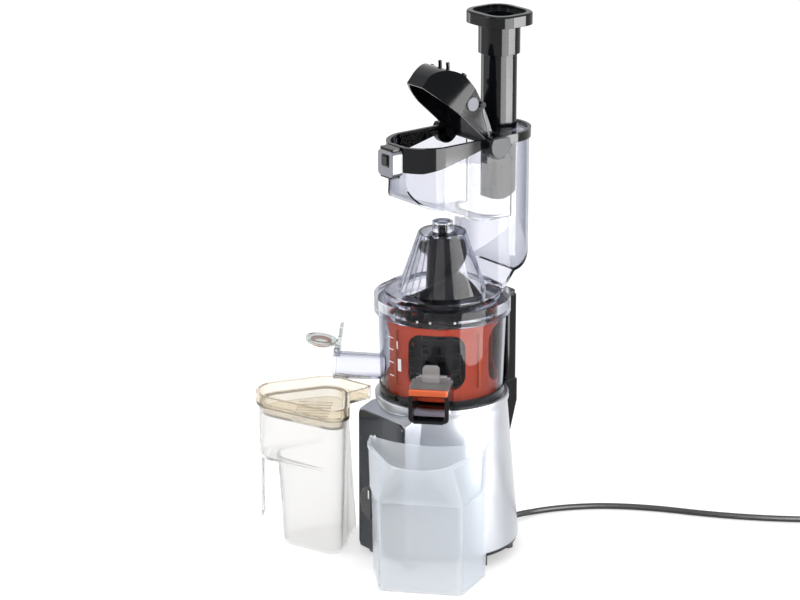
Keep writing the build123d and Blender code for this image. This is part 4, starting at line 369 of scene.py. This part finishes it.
def clear(name, face, slant_shade, edge, roughness, ior, transmission):
    """See-through moulding with painted shade on slantwise walls and a painted band along its edges."""
    material = new_material(name, face, roughness, IOR=ior, Transmission_Weight=transmission)
    slant = material.node_tree.nodes.new("ShaderNodeLayerWeight")
    slant.inputs["Blend"].default_value = WALL_BLEND.get(name, USUAL_WALL_BLEND)
    # painted shade, deeper the more slantwise the wall is seen
    slant_shade_share = spread(material, slant.outputs["Facing"], low=0.0, high=1.0, start=0.1, end=0.9)
    color = blend_color(material, slant_shade_share, face, slant_shade)
    # painted band along sharp edges: painted shade, but a painted highlight on pulp_blue
    edges = edge_share(material, EDGE_WIDTH.get(name, USUAL_EDGE_WIDTH))
    color = blend_color(material, edges, color, edge)
    material.node_tree.links.new(color, shader_of(material).inputs["Base Color"])
    add_relief(material, scale=22, strength=0.02, depth=0.002)
    return material


def make_materials():
    """One material for each slot of the record, the nodes' own shades and the prints' white."""
    made = {"silver_body": silver_body()}
    for name, *finish in PLASTICS:
        made[name] = plastic(name, *finish, edge=SOFT_EDGE)
    for name, *finish in SHARP_PLASTICS:
        made[name] = plastic(name, *finish, edge=0.0)
    for name, *finish in METALS:
        made[name] = metal(name, *finish)
    for name, *finish in CLEAR_PLASTICS:
        made[name] = clear(name, *finish)
    return made


def dress_nodes(materials):
    """Gives every CAD node the material of its slot, or its own shade of it."""
    for entry in frame["record"]["subparts"]:
        node = frame["nodes"][entry["node"]]
        node.data.materials.clear()
        node.data.materials.append(materials[OWN_SHADES.get(entry["node"], entry["material_slot"])])


# ---------------------------------------------------------------- mains cord

def coil_points():
    """Three lanes of turns, two side by side and one above, then part of a fourth, up to the plug."""
    end = Vector(CORD_ROUTE[-1])
    heading = (end - Vector(CORD_ROUTE[-2])).normalized()
    radius = CORD_DIAMETER / 2
    outer = COIL_TURN_RADIUS + radius
    inner = COIL_TURN_RADIUS - radius
    centre = end + heading * COIL_ENTRY + Vector((-heading.y, heading.x, 0)) * outer
    start_angle = math.atan2(heading.y, heading.x) - math.pi / 2
    total = COIL_TURNS * 2 * math.pi + (COIL_END_ANGLE - start_angle)
    steps = round(total / (2 * math.pi) * COIL_POINTS_PER_TURN)
    low = end.z
    high = end.z + 2 * radius
    lanes = ((outer, low), (inner, low), (inner, high), (outer, high), (outer, high))
    swell = 2 / (1 + math.cos(math.pi / COIL_POINTS_PER_TURN))   # the spline runs inside its points
    points = []
    for step in range(steps + 1):
        angle = total * step / steps
        turn = angle / (2 * math.pi)
        lane = min(int(turn), COIL_TURNS)
        move = 0.0
        if lane < COIL_TURNS:
            move = max(0.0, (turn - lane - (1 - LANE_CHANGE)) / LANE_CHANGE)
        move = move * move * (3 - 2 * move)
        lane_radius = lanes[lane][0] + (lanes[lane + 1][0] - lanes[lane][0]) * move
        height = lanes[lane][1] + (lanes[lane + 1][1] - lanes[lane][1]) * move
        spot = start_angle + angle
        reach = lane_radius * swell
        points.append((centre.x + reach * math.cos(spot), centre.y + reach * math.sin(spot), height))
    out = Vector((-math.sin(COIL_END_ANGLE), math.cos(COIL_END_ANGLE), 0))
    leave = centre + Vector((math.cos(COIL_END_ANGLE), math.sin(COIL_END_ANGLE), 0)) * outer
    plug_z = PLUG_HEIGHT / 2 + low - radius
    for distance, height in ((LEAVE_REACH, high - LEAVE_SAG), (PLUG_START, plug_z),
                             (PLUG_START + CORD_IN_PLUG, plug_z)):
        spot = leave + out * distance
        points.append((spot.x, spot.y, height))
    return points


def make_cord(materials):
    """The cord as one smooth spline from the strain relief through the coil into the plug."""
    curve = bpy.data.curves.new("mains_cord", "CURVE")
    curve.dimensions = "3D"
    curve.resolution_u = 8
    curve.bevel_depth = CORD_DIAMETER / 2
    curve.bevel_resolution = 5
    curve.use_fill_caps = True
    points = list(CORD_ROUTE) + coil_points()
    spline = curve.splines.new("NURBS")
    spline.points.add(len(points) - 1)
    for control, place in zip(spline.points, points):
        control.co = (*place, 1)
    spline.order_u = 3
    spline.use_endpoint_u = True
    cord = bpy.data.objects.new("mains_cord", curve)
    bpy.context.collection.objects.link(cord)
    curve.materials.append(materials["cord_black"])
    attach(cord, "base")
    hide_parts("cord_lead", "cord_coil")


# ---------------------------------------------------------------- small parts and marks

def outward(angle):
    """Direction from the auger's axis at an angle, from the front towards +X."""
    turn = math.radians(angle)
    return Vector((math.sin(turn), -math.cos(turn), 0))


def finish_piece(name, shape, material, body):
    """Object of a mesh or curve that rides its body and takes the material given."""
    piece = bpy.data.objects.new(name, shape)
    bpy.context.collection.objects.link(piece)
    shape.materials.append(material)
    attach(piece, body)


def wire(name, lines, radius, materials, body, slot, closed=False):
    """Round bead along one or more lines of points."""
    curve = bpy.data.curves.new(name, "CURVE")
    curve.dimensions = "3D"
    curve.bevel_depth = radius
    curve.bevel_resolution = 3
    curve.use_fill_caps = not closed
    for line in lines:
        spline = curve.splines.new("POLY")
        spline.points.add(len(line) - 1)
        for control, place in zip(spline.points, line):
            control.co = (*place, 1)
        spline.use_cyclic_u = closed
        spline.use_smooth = True
    finish_piece(name, curve, materials[slot], body)


def rounded_bar(name, middle, along, across, size, rounding, materials, body, slot):
    """Bar with rounded edges, turned to the two directions given, its third side upright."""
    mesh = bpy.data.meshes.new(name)
    work = bmesh.new()
    bmesh.ops.create_cube(work, size=1.0)
    bmesh.ops.scale(work, vec=size, verts=work.verts)
    bmesh.ops.bevel(work, geom=work.edges[:], offset=rounding, segments=4, profile=0.5, affect="EDGES")
    turn = Matrix((along, across, (0, 0, 1))).transposed().to_4x4()
    bmesh.ops.transform(work, matrix=Matrix.Translation(middle) @ turn, verts=work.verts)
    bmesh.ops.recalc_face_normals(work, faces=work.faces)
    for face in work.faces:
        face.smooth = True
    work.to_mesh(mesh)
    work.free()
    finish_piece(name, mesh, materials[slot], body)


def printed(name, patches, place_at, materials, body):
    """Thin raised white print: each patch spans two ranges, placed by a function of (across, up, rise)."""
    mesh = bpy.data.meshes.new(name)
    work = bmesh.new()
    for (left, right), (low, high) in patches:
        rows = []
        for rise in (0.0, PRINT_RISE):
            for up in (low, high):
                rows.append([work.verts.new(place_at(left + (right - left) * step / PRINT_STEPS, up, rise))
                             for step in range(PRINT_STEPS + 1)])
        bottom_low, bottom_high, top_low, top_high = rows
        for step in range(PRINT_STEPS):
            for first, second in ((top_low, top_high), (bottom_high, bottom_low), (bottom_low, top_low),
                                  (top_high, bottom_high)):
                work.faces.new((first[step], first[step + 1], second[step + 1], second[step]))
        for end in (0, PRINT_STEPS):
            work.faces.new((bottom_low[end], bottom_high[end], top_high[end], top_low[end]))
    bmesh.ops.recalc_face_normals(work, faces=work.faces)
    work.to_mesh(mesh)
    work.free()
    finish_piece(name, mesh, materials["mark_white"], body)


def latch_trim(materials):
    """Black frame round the button and a black foot under the latch."""
    (left, front, low), (right, back, high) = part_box("latch_block")
    (button_left, _, button_low), (button_right, _, button_high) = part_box("latch_button")
    gap = LATCH_BEAD + LATCH_BEAD_GAP
    y = front + LATCH_BEAD * BEAD_PROUD
    ring = [(button_left - gap, y, button_low - gap), (button_right + gap, y, button_low - gap),
            (button_right + gap, y, button_high + gap), (button_left - gap, y, button_high + gap)]
    wire("latch_frame", [ring], LATCH_BEAD, materials, "lid", "black_gloss", closed=True)
    middle = Vector(((left + right) / 2, (front + back) / 2, low - LATCH_FOOT_DROP))
    size = (right - left - LATCH_FOOT_SLIMMER[0], back - front - LATCH_FOOT_SLIMMER[1], LATCH_FOOT_HEIGHT)
    rounded_bar("latch_foot", middle, Vector((1, 0, 0)), Vector((0, 1, 0)), size, LATCH_FOOT_ROUNDING,
                materials, "lid", "black_gloss")


def gate_tongue(materials):
    """Rounded front of the gate's seal, which shows as a bright tongue before the plate."""
    out = outward(OUTLET_ANGLE)
    side = Vector((-out.y, out.x, 0))
    middle = out * TONGUE_OUT + Vector((0, 0, TONGUE_HEIGHT))
    rounded_bar("gate_tongue", middle, out, side, TONGUE_SIZE, TONGUE_ROUNDING, materials, "pulp_gate",
                "orange_silicone")


def bowl_scale(materials):
    """Plain level ticks and two bars printed on the bowl's front."""

    def on_bowl(angle, z, rise):
        share = (z - BOWL_FOOT) / (BOWL_RIM - BOWL_FOOT)
        radius = BOWL_FOOT_RADIUS + (BOWL_RIM_RADIUS - BOWL_FOOT_RADIUS) * share
        spot = outward(angle) * (radius + rise)
        return spot.x, spot.y, z

    ticks = tuple((TICK_SPAN, (z - TICK_HALF_HEIGHT, z + TICK_HALF_HEIGHT)) for z in TICK_HEIGHTS)
    printed("bowl_scale", ticks + SCALE_BARS, on_bowl, materials, "base")


def lid_marks(materials):
    """Three small marks on the lid's flange that show where it locks."""

    def on_flange(angle, z, rise):
        spot = outward(angle) * (FLANGE_RADIUS + rise)
        return spot.x, spot.y, z

    heights = (LOCK_HEIGHT - LOCK_HALF_HEIGHT, LOCK_HEIGHT + LOCK_HALF_HEIGHT)
    marks = [((angle - LOCK_HALF_SPAN, angle + LOCK_HALF_SPAN), heights) for angle in LOCK_ANGLES]
    printed("lid_marks", marks, on_flange, materials, "lid")


def panel_marks(materials):
    """Small plain drop shapes on the panel, above the knob."""

    def on_panel(across, z, rise):
        return across, PANEL_FRONT - rise, z

    rows = []
    for x, z, width, height in PANEL_MARKS:
        for row in range(MARK_ROWS):
            half = width / 2 * math.sin(math.pi * (row + 0.5) / MARK_ROWS)
            low = z - height / 2 + height * row / MARK_ROWS
            rows.append(((x - half, x + half), (low, low + height / MARK_ROWS)))
    printed("panel_marks", rows, on_panel, materials, "base")


def knob_pointer(materials):
    """Pale line on the knob's face."""

    def on_knob(across, z, rise):
        return across, KNOB_FACE - rise, z

    width = (-POINTER_HALF_WIDTH, POINTER_HALF_WIDTH)
    length = (KNOB_MIDDLE + POINTER_START, KNOB_MIDDLE + POINTER_END)
    printed("knob_pointer", [(width, length)], on_knob, materials, "knob")


def tower_ribs(materials):
    """Upright ribs down the front of the lid's tower."""
    lines = []
    for angle in RIB_ANGLES:
        low = outward(angle) * (TOWER_FOOT_RADIUS + RIB_RADIUS * BEAD_PROUD)
        high = outward(angle) * (TOWER_HEAD_RADIUS + RIB_RADIUS * BEAD_PROUD)
        lines.append([(low.x, low.y, TOWER_FOOT + RIB_RADIUS), (high.x, high.y, TOWER_HEAD - RIB_RADIUS)])
    wire("tower_ribs", lines, RIB_RADIUS, materials, "lid", "clear_plastic")


def hood_point(along, up, side):
    """Point in the open hood's own directions: along its edge from the hinge, up from it, and to its side."""
    turn = math.radians(HOOD_TILT)
    pivot_y, pivot_z = HOOD_PIVOT
    y = pivot_y - along * math.cos(turn) + up * math.sin(turn)
    z = pivot_z + along * math.sin(turn) + up * math.cos(turn)
    return side, y, z


def hood_rails(materials):
    """Two beads along each side of the hood's edge."""
    lines = []
    for side in (-1, 1):
        for up in RAIL_HEIGHTS:
            lines.append([hood_point(along, up, side * (HOOD_HALF - RAIL_SINK)) for along in RAIL_REACH])
    wire("hood_rails", lines, RAIL_RADIUS, materials, "hood", "black_gloss")


def make_details(materials):
    """Every piece that is in the scene alone, apart from the cord."""
    latch_trim(materials)
    gate_tongue(materials)
    bowl_scale(materials)
    lid_marks(materials)
    panel_marks(materials)
    knob_pointer(materials)
    tower_ribs(materials)
    hood_rails(materials)


# ---------------------------------------------------------------- floor and light

def add_lamp(name, place, aim, size, power, card=False):
    """Soft box that looks at a point; a card shows in gloss only."""
    data = bpy.data.lights.new(name, "AREA")
    data.shape = "RECTANGLE"
    data.size = size[0]
    data.size_y = size[1]
    data.energy = power
    lamp = bpy.data.objects.new(name, data)
    lamp.location = place
    lamp.rotation_euler = (Vector(aim) - Vector(place)).to_track_quat("-Z", "Y").to_euler()
    lamp.visible_camera = False
    lamp.visible_diffuse = not card
    lamp.visible_transmission = not card
    bpy.context.collection.objects.link(lamp)


def add_card(name, heading, distance, width, low, high, glow, shift):
    """Upright reflection card at a heading from +X towards +Y; the shift moves it sideways."""
    turn = math.radians(heading)
    middle = (low + high) / 2
    out = Vector((math.cos(turn), math.sin(turn), 0))
    spot = out * distance + Vector((-out.y, out.x, 0)) * shift + Vector((0, 0, middle))
    power = glow * math.pi * width * (high - low)
    add_lamp(name, spot, spot - out, (width, high - low), power, card=True)


def seen_ray(tree):
    """Two shares: 1 for rays from the camera and in glass, and 1 for those and for rays in gloss."""
    path = tree.nodes.new("ShaderNodeLightPath")
    first = tree.nodes.new("ShaderNodeMath")
    first.operation = "MAXIMUM"
    second = tree.nodes.new("ShaderNodeMath")
    second.operation = "MAXIMUM"
    tree.links.new(path.outputs["Is Camera Ray"], first.inputs[0])
    tree.links.new(path.outputs["Is Transmission Ray"], first.inputs[1])
    tree.links.new(first.outputs[0], second.inputs[0])
    tree.links.new(path.outputs["Is Glossy Ray"], second.inputs[1])
    return first.outputs[0], second.outputs[0]


def make_world():
    """White surroundings that light the object softly, with a dim side behind the camera for reflections."""
    world = bpy.data.worlds.new("studio")
    bpy.context.scene.world = world
    world.use_nodes = True
    tree = world.node_tree
    background = tree.nodes["Background"]
    place = tree.nodes.new("ShaderNodeTexCoord")
    facing = tree.nodes.new("ShaderNodeVectorMath")
    facing.operation = "DOT_PRODUCT"
    facing.inputs[1].default_value = CAMERA_SIDE
    tree.links.new(place.outputs["Generated"], facing.inputs[0])
    shade = tree.nodes.new("ShaderNodeMapRange")
    shade.interpolation_type = "SMOOTHSTEP"
    shade.inputs["From Min"].default_value = DIMMING_RANGE[0]
    shade.inputs["From Max"].default_value = DIMMING_RANGE[1]
    shade.inputs["To Min"].default_value = BRIGHT_SKY
    shade.inputs["To Max"].default_value = DIM_SKY
    tree.links.new(facing.outputs["Value"], shade.inputs["Value"])
    direct, _ = seen_ray(tree)
    strength = tree.nodes.new("ShaderNodeMix")
    strength.data_type = "FLOAT"
    strength.inputs["B"].default_value = 1.0
    tree.links.new(direct, strength.inputs["Factor"])
    tree.links.new(shade.outputs["Result"], strength.inputs["A"])
    background.inputs["Color"].default_value = (1, 1, 1, 1)
    tree.links.new(strength.outputs["Result"], background.inputs["Strength"])


def floor_material():
    """Pale grey that takes shadows, with a glow that brings it near white where it is seen."""
    material = bpy.data.materials.new("floor")
    material.use_nodes = True
    tree = material.node_tree
    tree.nodes.clear()
    output = tree.nodes.new("ShaderNodeOutputMaterial")
    diffuse = tree.nodes.new("ShaderNodeBsdfDiffuse")
    diffuse.inputs["Color"].default_value = (FLOOR_GREY, FLOOR_GREY, FLOOR_GREY, 1)
    glow = tree.nodes.new("ShaderNodeEmission")
    add = tree.nodes.new("ShaderNodeAddShader")
    _, seen = seen_ray(tree)
    scale = tree.nodes.new("ShaderNodeMath")
    scale.operation = "MULTIPLY"
    scale.inputs[1].default_value = FLOOR_GLOW
    tree.links.new(seen, scale.inputs[0])
    tree.links.new(scale.outputs[0], glow.inputs["Strength"])
    tree.links.new(diffuse.outputs[0], add.inputs[0])
    tree.links.new(glow.outputs[0], add.inputs[1])
    tree.links.new(add.outputs[0], output.inputs["Surface"])
    return material


def make_floor():
    """Floor that runs out of sight and keeps the object's shadow."""
    mesh = bpy.data.meshes.new("floor")
    corners = [(x * FLOOR_REACH, y * FLOOR_REACH, 0) for x, y in ((-1, -1), (1, -1), (1, 1), (-1, 1))]
    mesh.from_pydata(corners, [], [(0, 1, 2, 3)])
    floor = bpy.data.objects.new("floor", mesh)
    bpy.context.collection.objects.link(floor)
    mesh.materials.append(floor_material())


def make_light():
    """Surroundings, soft boxes, and the cards that show as streaks in the gloss."""
    make_world()
    for name, place, size, power in LAMPS:
        add_lamp(name, place, LAMP_AIM, size, power)
    for card in CARDS:
        add_card(*card)


# ---------------------------------------------------------------- all of it

make_camera()
materials = make_materials()
make_cord(materials)
dress_nodes(materials)
make_details(materials)
make_floor()
make_light()

bpy.context.scene.view_settings.view_transform = "Standard"
